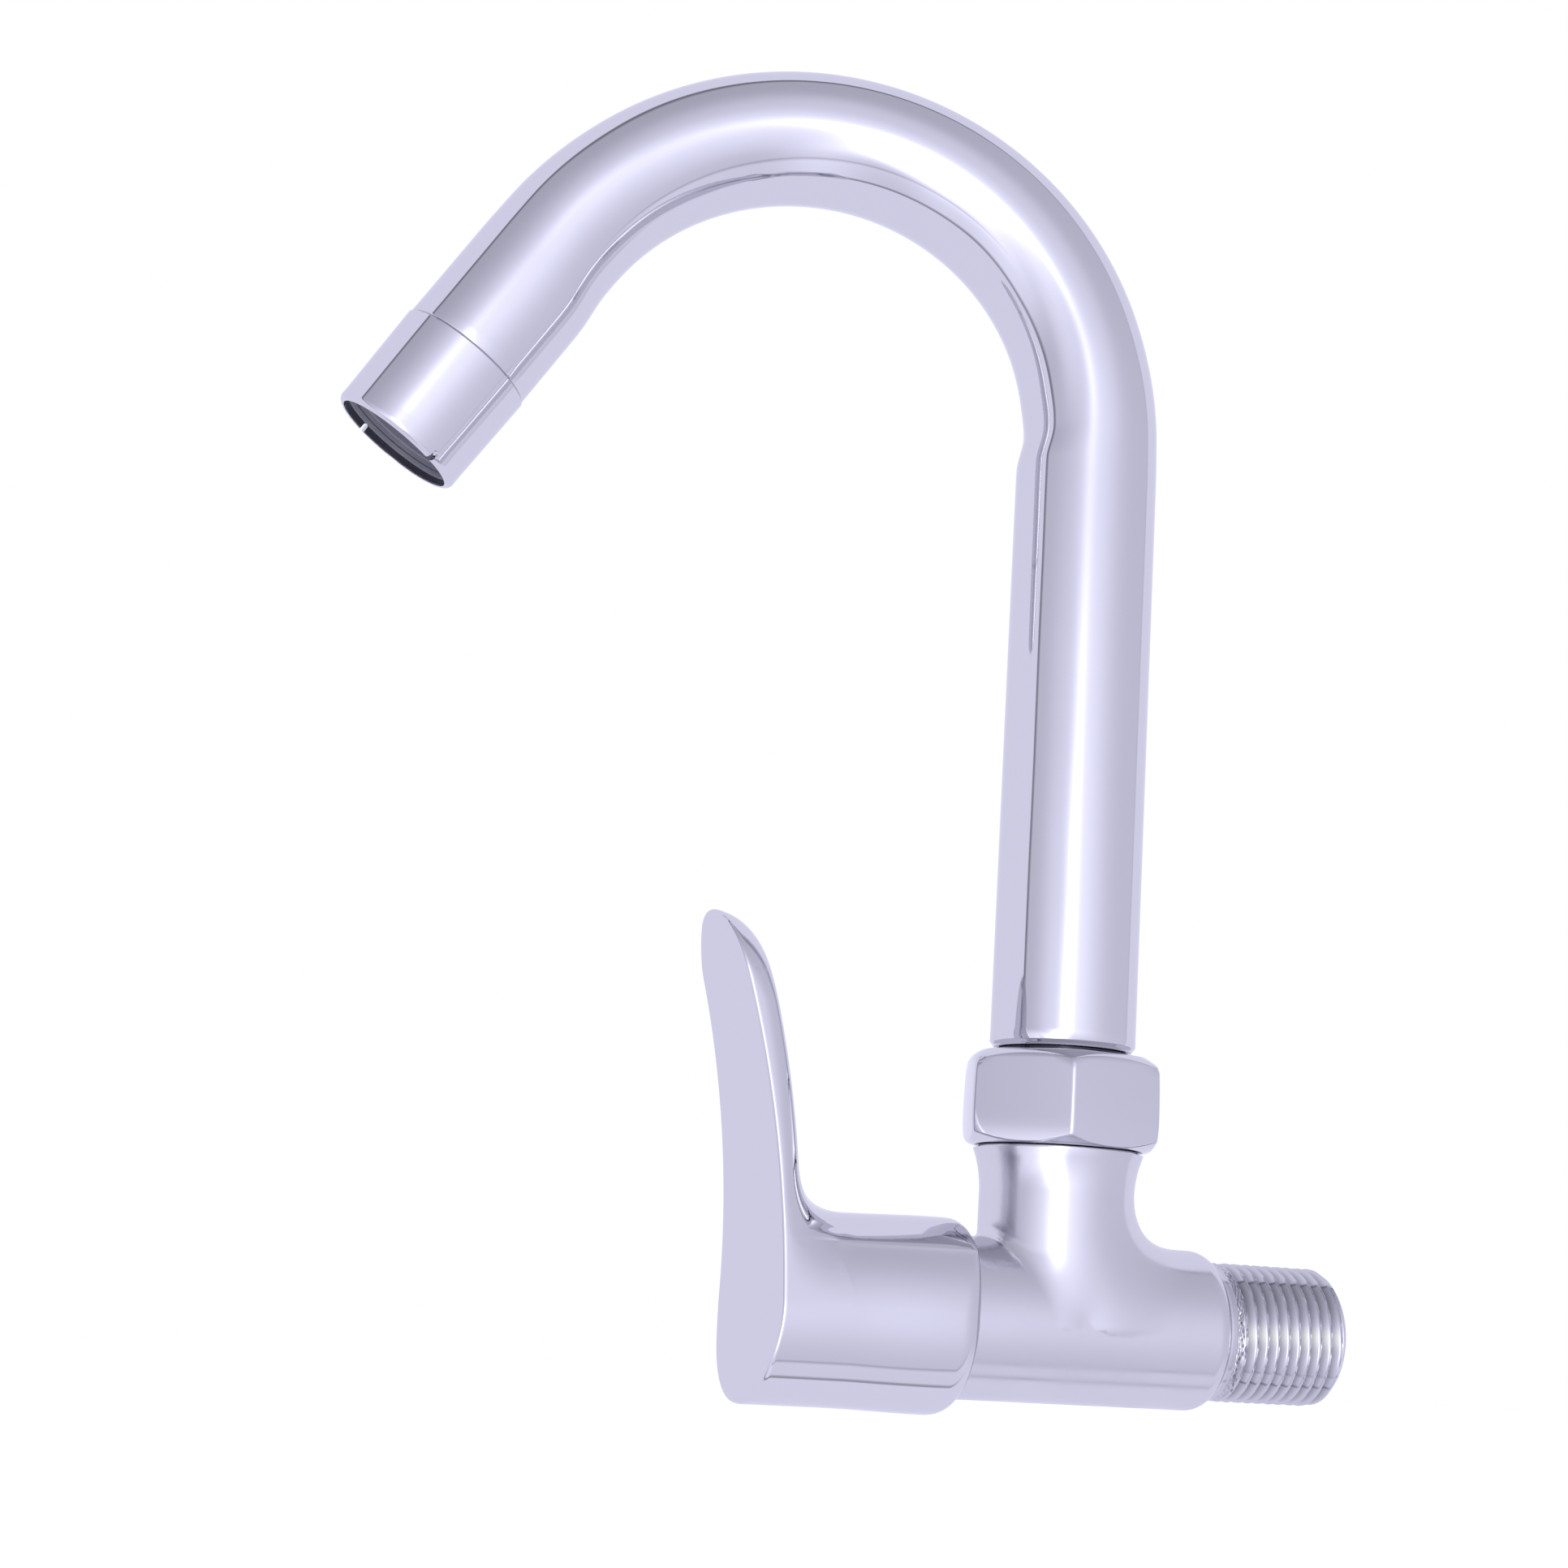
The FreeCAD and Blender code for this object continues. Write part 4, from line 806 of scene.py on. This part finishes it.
def build_lever(v, chrome):
    """Rays from inside the lever find its skin.

    In each half plane through the inlet axis they aim at the sharp section: out over the face,
    across the edge, in along the paddle's back and out along the hub to the rear end. Each
    starts 3 mm inside its target, midway through the paddle or under the hub's skin."""
    inset, blunt = 3.1, 0.3
    edge = lever_outline(v, 216)
    reach = np.hypot(*edge.T)
    way_y, way_z = (edge / reach[:, None]).T
    lean_x = v.face_x - v.lean_r

    def field(p):
        return lever_field(v, p)

    def point(x, r):
        return joined(x, r * way_y, r * way_z)

    def thick(r):
        return v.thickness - v.crown_r + np.sqrt(v.crown_r ** 2 - (r * way_y) ** 2)

    def leant(r, deep, below):
        """A place on the arc of the lean, at a depth behind the face, or below the axis."""
        z = r * way_z
        above = lean_x + np.sqrt((v.lean_r + deep) ** 2 - np.maximum(z, 0.0) ** 2)
        return np.where(z > 0.0, above, v.face_x + below)

    def face_x(r):
        return leant(r, 0.0, -v.foot_lean * (r * way_z / v.foot_r) ** 2)

    def back_x(r):
        return leant(r, thick(r), thick(r))

    def heart(r):
        return face_x(r) + 0.5 * thick(r)

    # Targets of the rays with their starts: the face, the edge, the back with the hub, the rear
    deep = reach - inset
    t = (1.0 - (1.0 - np.linspace(0.0, 1.0, 34)[1:]) ** 1.9)[:, None]
    rays = [(point(face_x(t * reach), t * reach), point(heart(t * deep), t * deep))]
    t = (0.5 - 0.5 * np.cos(np.pi * np.linspace(0.0, 1.0, 24)[1:]))[:, None]
    rays.append((point(face_x(reach) * (1.0 - t) + back_x(reach) * t, reach),
                 point(heart(deep), deep)))
    root_r = np.minimum(v.foot_r, reach)
    root_x, climb = back_x(root_r), reach - root_r
    t = (np.linspace(0.0, 1.0, 96)[1:] ** 1.3)[:, None] * (climb + v.back_x - root_x)
    r = np.maximum(reach - t, root_r)
    beyond = np.maximum(t - climb, 0.0)
    inner_x = heart(root_r - inset)
    slide = inner_x + beyond * (v.back_x - inset - inner_x) / (v.back_x - root_x)
    rays.append((point(np.where(t < climb, back_x(r), root_x + beyond), r),
                 point(np.where(t < climb, heart(r - inset), slide), r - inset)))
    t = np.linspace(0.0, 1.0, 10)[1:, None]
    rays.append((point(v.back_x, v.foot_r + (v.skirt_r + blunt - v.foot_r) * t),
                 point(v.back_x - inset, v.foot_r - inset)))
    target, start = map(np.concatenate, zip(*(np.broadcast_arrays(*pair) for pair in rays)))
    skin = first_crossing(field, start, target, 0.1, 2.4, 60)
    skin_x = skin[-1, :, 0].mean()
    inner = np.concatenate([
        arc((skin_x - blunt, v.skirt_r + blunt), blunt, 0.0, -90.0, 5)[1:],
        route([(skin_x - 0.4, v.skirt_r), (v.boss_x, v.skirt_r), (v.boss_x, v.socket_r),
               (v.socket_x, v.socket_r), (v.socket_x, 0.0)], (6, 4, 4, 3), True)])
    points = np.concatenate([point(v.face_x, 0.0)[None], skin, point(*inner.T[..., None])])
    thing = piece("lever_casting", points, grid_faces(numbered(points), False, True), "handle",
                  [chrome], skin=field)
    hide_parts("lever_handle")


# Materials

WHITE = (1.0, 1.0, 1.0, 1.0)
MATH, RANGE, MIX = "ShaderNodeMath", "ShaderNodeMapRange", "ShaderNodeMix"
NOISE, BUMP, MAPPING = "ShaderNodeTexNoise", "ShaderNodeBump", "ShaderNodeMapping"
PRINCIPLED, SPLIT = "ShaderNodeBsdfPrincipled", "ShaderNodeSeparateXYZ"
TIMES = {"operation": "MULTIPLY"}
SOFT = {"interpolation_type": "SMOOTHSTEP"}
COLOURS = {"data_type": "RGBA"}


def node(tree, kind, inputs=(), **settings):
    """Adds one shader node with its settings and links.

    Inputs are given by name, or in order over those that are in use. Each takes a value, an
    output, or another node, whose first output in use is meant."""
    made = tree.nodes.new(kind)
    for key, value in settings.items():
        setattr(made, key, value)
    used = [socket for socket in made.inputs if socket.enabled]
    named = inputs if isinstance(inputs, dict) else None
    for key, value in named.items() if named else zip(used, inputs):
        socket = made.inputs[key] if named else key
        if isinstance(value, bpy.types.Node):
            value = next(output for output in value.outputs if output.enabled)
        if isinstance(value, bpy.types.NodeSocket):
            tree.links.new(value, socket)
        else:
            socket.default_value = value
    return made


def darker(colour, share):
    """A colour dimmed to a share of itself."""
    return (*(c * share for c in colour[:3]), 1.0)


def empty_tree(owner):
    """The node tree of a material or a world, cleared."""
    owner.use_nodes = True
    owner.node_tree.nodes.clear()
    return owner.node_tree


def new_material(name):
    """An empty node material, its tree and the place of each point in metres."""
    material = bpy.data.materials.new(name)
    tree = empty_tree(material)
    return material, tree, node(tree, "ShaderNodeTexCoord").outputs["Object"]


def plated(name, colour, waviness, grain, roughness, bend=None, groove_shade=None):
    """Bright chrome plate over buffed brass.

    Buffing leaves soft waves some 15 mm long, which bend the reflections a little, and
    hairlines of 0.1 mm, drawn here at 0.3 mm, which only blur them. A bent tube also keeps
    streaks 4 mm wide and 70 mm long, where the bend's outer skin was drawn and buffed along:
    bend gives where they begin and end. A thread's roots are painted darker than its crests, as
    painted shade down in the grooves: groove_shade gives the radii of both round X and where the
    grooves end."""
    material, tree, where = new_material(name)
    if groove_shade:
        root, crest, end = groove_shade
        # Painted shade: the colour falls to half from the thread's crests down to its roots
        across = node(tree, MAPPING, {"Vector": where, "Scale": (0.0, 1.0, 1.0)})
        radius = node(tree, "ShaderNodeVectorMath", (across,), operation="LENGTH")
        height = node(tree, RANGE, (radius, root, crest))
        beyond = node(tree, RANGE, (node(tree, SPLIT, (where,)), end - 0.0008, end))
        plain = node(tree, MATH, (height, beyond), operation="MAXIMUM")
        colour = node(tree, MIX, (plain, darker(colour, 0.5), colour), **COLOURS)
    waves = node(tree, NOISE, {"Vector": where, "Scale": 65.0, "Detail": 0.0})
    relief = node(tree, BUMP, {"Height": waves, "Strength": waviness, "Distance": 0.0009})
    if bend:
        start, end = bend
        run = node(tree, "ShaderNodeAttribute", attribute_name="straight").outputs["Vector"]
        drawn = node(tree, MAPPING, {"Vector": run, "Scale": (14.0, 250.0, 250.0)})
        streaks = node(tree, NOISE, {"Vector": drawn, "Scale": 1.0, "Detail": 0.0})
        far = node(tree, SPLIT, (run,))
        rise = node(tree, RANGE, (far, start - 0.01, start + 0.03, 0.05, 1.0), **SOFT)
        fall = node(tree, RANGE, (far, end - 0.03, end + 0.01, 0.5, 0.05), **SOFT)
        relief = node(tree, BUMP, {"Height": streaks, "Distance": 0.0007, "Normal": relief,
                                   "Strength": node(tree, MATH, (rise, fall), **TIMES)})
    hairs = node(tree, NOISE, {"Vector": where, "Scale": 3300.0, "Detail": 2.0})
    relief = node(tree, BUMP, {"Height": hairs, "Strength": grain, "Distance": 0.00002,
                               "Normal": relief})
    clouds = node(tree, NOISE, {"Vector": where, "Scale": 140.0, "Detail": 3.0})
    shader = node(tree, PRINCIPLED, {
        "Base Color": colour, "Metallic": 1.0, "Specular Tint": (0.9, 0.9, 0.91, 1.0),
        "Roughness": node(tree, RANGE, (clouds, 0.3, 0.75, roughness, roughness * 1.9)),
        "Normal": relief})
    node(tree, "ShaderNodeOutputMaterial", {"Surface": shader})
    return material


def turned_metal(name, colour, roughness):
    """Turned bar: fine tool marks 0.5 mm apart under a soft shine."""
    material, tree, where = new_material(name)
    rings = node(tree, "ShaderNodeTexWave", {"Vector": where, "Scale": 640.0, "Distortion": 1.2,
                                             "Detail": 2.0}).outputs["Fac"]
    stain = node(tree, NOISE, {"Vector": where, "Scale": 260.0, "Detail": 4.0})
    shader = node(tree, PRINCIPLED, {
        "Base Color": node(tree, MIX, (stain, colour, darker(colour, 0.72)), **COLOURS),
        "Metallic": 1.0, "Roughness": roughness,
        "Normal": node(tree, BUMP, {"Height": rings, "Strength": 0.3, "Distance": 0.00003})})
    node(tree, "ShaderNodeOutputMaterial", {"Surface": shader})
    return material


def moulded(name, colour, roughness, grain, depth, ior=1.5):
    """Moulded or lapped matter: an even colour with slight clouds and a fine grain."""
    material, tree, where = new_material(name)
    clouds = node(tree, NOISE, {"Vector": where, "Scale": 180.0, "Detail": 3.0})
    skin = node(tree, NOISE, {"Vector": where, "Scale": grain, "Detail": 3.0})
    shader = node(tree, PRINCIPLED, {
        "Base Color": node(tree, MIX, (clouds, colour, darker(colour, 0.82)), **COLOURS),
        "Roughness": roughness, "IOR": ior,
        "Normal": node(tree, BUMP, {"Height": skin, "Strength": 0.35, "Distance": depth})})
    node(tree, "ShaderNodeOutputMaterial", {"Surface": shader})
    return material


# Each finish: how it is made, the setting of its colour, and the measures that its maker takes
FINISHES = {
    # Mirror bright, with soft waves
    "polished_chrome_plate": (plated, "chrome", 0.08, 0.0, 0.035),
    # The same, with faint streaks along the bend
    "polished_chrome_tube": (plated, "chrome", 0.08, 0.0, 0.035, (0.09735, 0.2162)),
    # Mirror bright, with a trace of hairlines
    "polished_chrome_casting": (plated, "chrome", 0.07, 0.02, 0.035),
    # Bright but blurred, because the body is buffed less than the rest
    "buffed_chrome_casting": (plated, "chrome", 0.15, 0.0, 0.14),
    # Shiny crests over roots darkened by painted shade
    "chromed_cut_thread": (plated, "chrome_thread", 0.3, 0.1, 0.07, None,
                           (0.0098, 0.0102, 0.0188)),
    # A dark mirror in the gap above the nut: painted shade for the shadowed gap
    "darkened_chrome": (plated, "shank", 0.1, 0.0, 0.04),
    # Nearly black, with a soft shine: painted shade inside the outlet's mouth
    "dark_moulded_insert": (moulded, "insert", 0.28, 300.0, 0.000004),
    # Warm yellow, with fine tool marks
    "turned_brass_bar": (turned_metal, "brass", 0.28),
    # Pale grey and shiny
    "stainless_steel_wire": (turned_metal, "steel", 0.3),
    # Black and half matt
    "nitrile_rubber": (moulded, "rubber", 0.55, 1500.0, 0.00003),
    # Brown red and dry, like card
    "pressed_red_fibre": (moulded, "fibre", 0.8, 900.0, 0.00006),
    # Milky white, with a soft shine
    "white_acetal": (moulded, "acetal", 0.35, 700.0, 0.00001),
    # Middle grey, with a dull shine
    "moulded_grey_plastic": (moulded, "moulding", 0.4, 900.0, 0.00002),
    # Off-white, ground nearly to a polish
    "lapped_alumina": (moulded, "ceramic", 0.16, 2400.0, 0.000004, 1.76),
}

CARRIED_OVER = {
    "turned_brass_bar": ("cartridge_housing", "spindle", "stop_ring", "outlet_bush"),
    "darkened_chrome": ("spout_shank",),
    "stainless_steel_wire": ("spindle_clip", "grub_screw", "upper_screen"),
    "nitrile_rubber": ("seat_washer", "shank_ring_lower", "shank_ring_upper",
                       "spindle_ring_inner", "spindle_ring_outer", "aerator_washer"),
    "pressed_red_fibre": ("housing_gasket",),
    "white_acetal": ("lower_swivel_washer", "upper_swivel_washer", "slip_washer"),
    "moulded_grey_plastic": ("aerator_housing", "diffuser"),
    "lapped_alumina": ("fixed_disc", "moving_disc"),
}


def finish_of(name):
    """The material of that finish, made on first use from the colours in the settings."""
    if name in bpy.data.materials:
        return bpy.data.materials[name]
    maker, colour, *measures = FINISHES[name]
    return maker(name, getattr(bpy.context.scene.tap_finishes, colour), *measures)


# Stage

# Glows of the room in front: power, place across and up, widths across and up, tilt
GLOWS = ((1.60, -0.433, -0.219, 0.155, 0.366, -0.265),
         (0.85, -0.230, -0.010, 0.730, 0.692, -0.321),
         (0.43, -0.396, -0.461, 0.161, 0.749, 0.649),
         (0.56, -0.779, -0.400, 0.387, 0.177, -0.664))


def studio_light(tint):
    """A light tent: a white sheet behind the tap and a dimmer room in front of it.

    The strength depends on the direction of a ray, and the camera sees plain white. Behind the
    tap the sheet is even. In front the room is grey, a little brighter to the right and low
    down, with a tall slanted window left of the middle, a wide glow round it and two lesser
    ones below and beside it. Each glow is a tilted ellipse that fades as exp(-d^2). A thin
    dark line, faint on the right, parts the sheet from the room, and runs a little further
    forward low down, where a brighter band with a thin edge lies before it."""
    world = bpy.data.worlds.new("light_tent")
    bpy.context.scene.world = world
    tree = empty_tree(world)
    way = node(tree, "ShaderNodeTexCoord").outputs["Generated"]
    x, y, z = node(tree, SPLIT, (way,)).outputs
    # The room's own grey, which changes evenly across and up, and the glows on it
    right = node(tree, MATH, (x, 0.194), **TIMES)
    raised = node(tree, MATH, (node(tree, MATH, (z, -0.072), **TIMES), 0.59))
    room = node(tree, MATH, (right, raised))
    plane = node(tree, "ShaderNodeCombineXYZ", (x, z))
    for power, across, up, wide, tall, tilt in GLOWS:
        spot = node(tree, MAPPING, {
            "Vector": plane, "Location": (across, up, 0.0), "Rotation": (0.0, 0.0, tilt),
            "Scale": (wide, tall, 1.0)}, vector_type="TEXTURE")
        far = node(tree, "ShaderNodeVectorMath", (spot, spot), operation="DOT_PRODUCT")
        near = node(tree, MATH, (node(tree, MATH, (far, -1.0), **TIMES),), operation="EXPONENT")
        room = node(tree, MATH, (room, node(tree, MATH, (near, power), **TIMES)))
    # The band low down, with its edge as a thin ridge that is taken away
    low = node(tree, RANGE, (z, -0.65, -0.25, 1.0, 0.0), **SOFT)
    lift = node(tree, RANGE, (y, -0.38, -0.34, 0.0, 0.17), **SOFT)
    rise = node(tree, RANGE, (y, -0.435, -0.4, 0.0, 1.0), **SOFT)
    fall = node(tree, RANGE, (y, -0.4, -0.365, 1.0, 0.0), **SOFT)
    edge = node(tree, MATH, (node(tree, MATH, (rise, fall), **TIMES), -0.25), **TIMES)
    band = node(tree, MATH, (node(tree, MATH, (lift, edge)), low), **TIMES)
    room = node(tree, MATH, (room, node(tree, MATH, (band, 1.0))), **TIMES)
    # From the room over the dark line to the sheet
    ahead = node(tree, MATH, (y, node(tree, MATH, (low, 0.08), **TIMES)))
    depth = node(tree, RANGE, (x, 0.2, 0.85, 0.42, 0.95), **SOFT)
    dark = node(tree, MATH, (room, depth), **TIMES)
    line = node(tree, RANGE, (ahead, -0.01, 0.05, 0.0, 1.0), **SOFT)
    sheet = node(tree, RANGE, (ahead, 0.075, 0.1, 0.0, 1.0), **SOFT)
    tent = node(tree, MIX, (sheet, node(tree, MIX, (line, room, dark)), 1.0))
    # The brightest light is white, and the camera sees white everywhere
    bright = node(tree, RANGE, (tent, 1.15, 1.8, 0.0, 1.0), **SOFT)
    hue = node(tree, MIX, (bright, tint, (0.94, 0.94, 0.95, 1.0)), **COLOURS)
    ray = node(tree, "ShaderNodeLightPath").outputs["Is Camera Ray"]
    light = node(tree, "ShaderNodeBackground", {
        "Color": node(tree, MIX, (ray, hue, WHITE), **COLOURS),
        "Strength": node(tree, MIX, (ray, node(tree, MATH, (tent, 1.11), **TIMES), 1.0))})
    node(tree, "ShaderNodeOutputWorld", {"Surface": light})


def floor_material(colour):
    """A matt pale floor that clips to white where it is lit and keeps the tap's shadow.

    Reflections pass through it, so the metal shows the light tent below as well."""
    material, tree, where = new_material("matt_paper_floor")
    grain = node(tree, NOISE, {"Vector": where, "Scale": 900.0, "Detail": 2.0})
    paper = node(tree, "ShaderNodeBsdfDiffuse", {
        "Color": colour,
        "Normal": node(tree, BUMP, {"Height": grain, "Strength": 0.1, "Distance": 0.0001})})
    lift = node(tree, "ShaderNodeEmission", {"Color": WHITE, "Strength": 0.3})
    lit = node(tree, "ShaderNodeAddShader", (paper, lift))
    ray = node(tree, "ShaderNodeLightPath").outputs["Is Glossy Ray"]
    clear = node(tree, "ShaderNodeBsdfTransparent")
    shader = node(tree, "ShaderNodeMixShader", (ray, lit, clear))
    node(tree, "ShaderNodeOutputMaterial", {"Surface": shader})
    return material


def build_stage(studio, finishes):
    """The floor, the overhead lamp, the tent and the camera of the photograph."""
    side, z = 3.0, studio.floor_z / 1000.0
    mesh = bpy.data.meshes.new("floor")
    mesh.from_pydata([(-side, -side, z), (side, -side, z), (side, side, z), (-side, side, z)],
                     [], [(0, 1, 2, 3)])
    mesh.materials.append(floor_material(finishes.floor))
    put("floor", mesh)
    studio_light(finishes.tent)
    lamp = bpy.data.lights.new("overhead_lamp", "AREA")
    lamp.energy = studio.lamp
    lamp.shape = "DISK"
    lamp.size = 0.9
    holder = put("overhead_lamp", lamp)
    holder.location = (-0.35, -0.45, 0.95)
    holder.rotation_euler = (math.radians(27.0), math.radians(-18.0), 0.0)
    holder.visible_glossy = False
    holder.visible_camera = False
    data = bpy.data.cameras.new("photo_camera")
    data.lens = studio.lens
    data.sensor_width = 36.0
    data.clip_start = 0.01
    data.clip_end = 20.0
    # Where the photo's camera stood, where it looked and how far it was rolled
    stand, ahead, roll = (-0.2104, -0.3813, 0.00211), (0.3330, 0.9254, 0.1810), 3.486
    ahead = ahead / np.linalg.norm(ahead)
    level = np.cross(ahead, (0.0, 0.0, 1.0))
    level /= np.linalg.norm(level)
    above = np.cross(level, ahead)
    c, d = math.cos(math.radians(roll)), math.sin(math.radians(roll))
    rows = np.stack([level * c + above * d, above * c - level * d, -ahead, stand], 1)
    camera = put("photo_camera", data)
    camera.matrix_world = Matrix([*rows.tolist(), (0.0, 0.0, 0.0, 1.0)])
    bpy.context.scene.camera = camera
    bpy.context.scene.view_settings.view_transform = "Standard"


# Operators

class TAP_OT_body(Operator):
    """Builds the cast body with its threaded inlet"""

    bl_idname = "tap.body"
    bl_label = "Build Body"

    def execute(self, context):
        build_body(*sizes("body"), finish_of("buffed_chrome_casting"),
                   finish_of("chromed_cut_thread"))
        return {"FINISHED"}


class TAP_OT_spout(Operator):
    """Builds the bent tube of the swan neck"""

    bl_idname = "tap.spout"
    bl_label = "Build Spout"

    def execute(self, context):
        build_spout(*sizes("spout", "body"), finish_of("polished_chrome_tube"))
        return {"FINISHED"}


class TAP_OT_outlet(Operator):
    """Builds the outlet collar and its woven screen"""

    bl_idname = "tap.outlet"
    bl_label = "Build Outlet"

    def execute(self, context):
        build_collar(*sizes("spout", "body"), finish_of("polished_chrome_plate"),
                     finish_of("dark_moulded_insert"), finish_of("moulded_grey_plastic"))
        build_screen(*sizes("spout", "body"), finish_of("stainless_steel_wire"))
        return {"FINISHED"}


class TAP_OT_nut(Operator):
    """Builds the hexagon nut of the swivel"""

    bl_idname = "tap.nut"
    bl_label = "Build Nut"

    def execute(self, context):
        build_nut(*sizes("nut", "body"), finish_of("polished_chrome_plate"))
        return {"FINISHED"}


class TAP_OT_lever(Operator):
    """Builds the lever with its hub"""

    bl_idname = "tap.lever"
    bl_label = "Build Lever"

    def execute(self, context):
        build_lever(*sizes("lever"), finish_of("polished_chrome_casting"))
        return {"FINISHED"}


class TAP_OT_fittings(Operator):
    """Gives the washers, rings, discs and turned pieces their finishes"""

    bl_idname = "tap.fittings"
    bl_label = "Finish Fittings"

    def execute(self, context):
        for name, pieces in CARRIED_OVER.items():
            for key in pieces:
                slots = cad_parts[key].data.materials
                slots.clear()
                slots.append(finish_of(name))
        return {"FINISHED"}


class TAP_OT_stage(Operator):
    """Builds the floor, the light tent and the camera"""

    bl_idname = "tap.stage"
    bl_label = "Build Stage"

    def execute(self, context):
        build_stage(*sizes("studio"), context.scene.tap_finishes)
        return {"FINISHED"}


class TAP_PT_sidebar(Panel):
    """Lists the tap's pieces and their sizes"""

    bl_idname = "TAP_PT_sidebar"
    bl_label = "Swan Neck Tap"
    bl_space_type = "VIEW_3D"
    bl_region_type = "UI"
    bl_category = "Tap"

    def draw(self, context):
        for operator in OPERATORS:
            self.layout.operator(operator.bl_idname)
        for key, group in SETTINGS:
            box = self.layout.box()
            box.label(text=group.__name__)
            for name in group.__annotations__:
                box.prop(getattr(context.scene, key), name)


OPERATORS = (TAP_OT_stage, TAP_OT_body, TAP_OT_spout, TAP_OT_outlet, TAP_OT_nut, TAP_OT_lever,
             TAP_OT_fittings)


def register():
    """Registers the settings, the operators and the panel."""
    for key, group in SETTINGS:
        bpy.utils.register_class(group)
        setattr(bpy.types.Scene, key, PointerProperty(type=group))
    for kind in (*OPERATORS, TAP_PT_sidebar):
        bpy.utils.register_class(kind)


def unregister():
    """Removes what register added."""
    for kind in (TAP_PT_sidebar, *reversed(OPERATORS)):
        bpy.utils.unregister_class(kind)
    for key, group in reversed(SETTINGS):
        delattr(bpy.types.Scene, key)
        bpy.utils.unregister_class(group)


def main():
    """Builds the whole tap in order."""
    register()
    bpy.ops.tap.stage()
    bpy.ops.tap.body()
    bpy.ops.tap.spout()
    bpy.ops.tap.outlet()
    bpy.ops.tap.nut()
    bpy.ops.tap.lever()
    bpy.ops.tap.fittings()


if __name__ == "__main__":
    main()
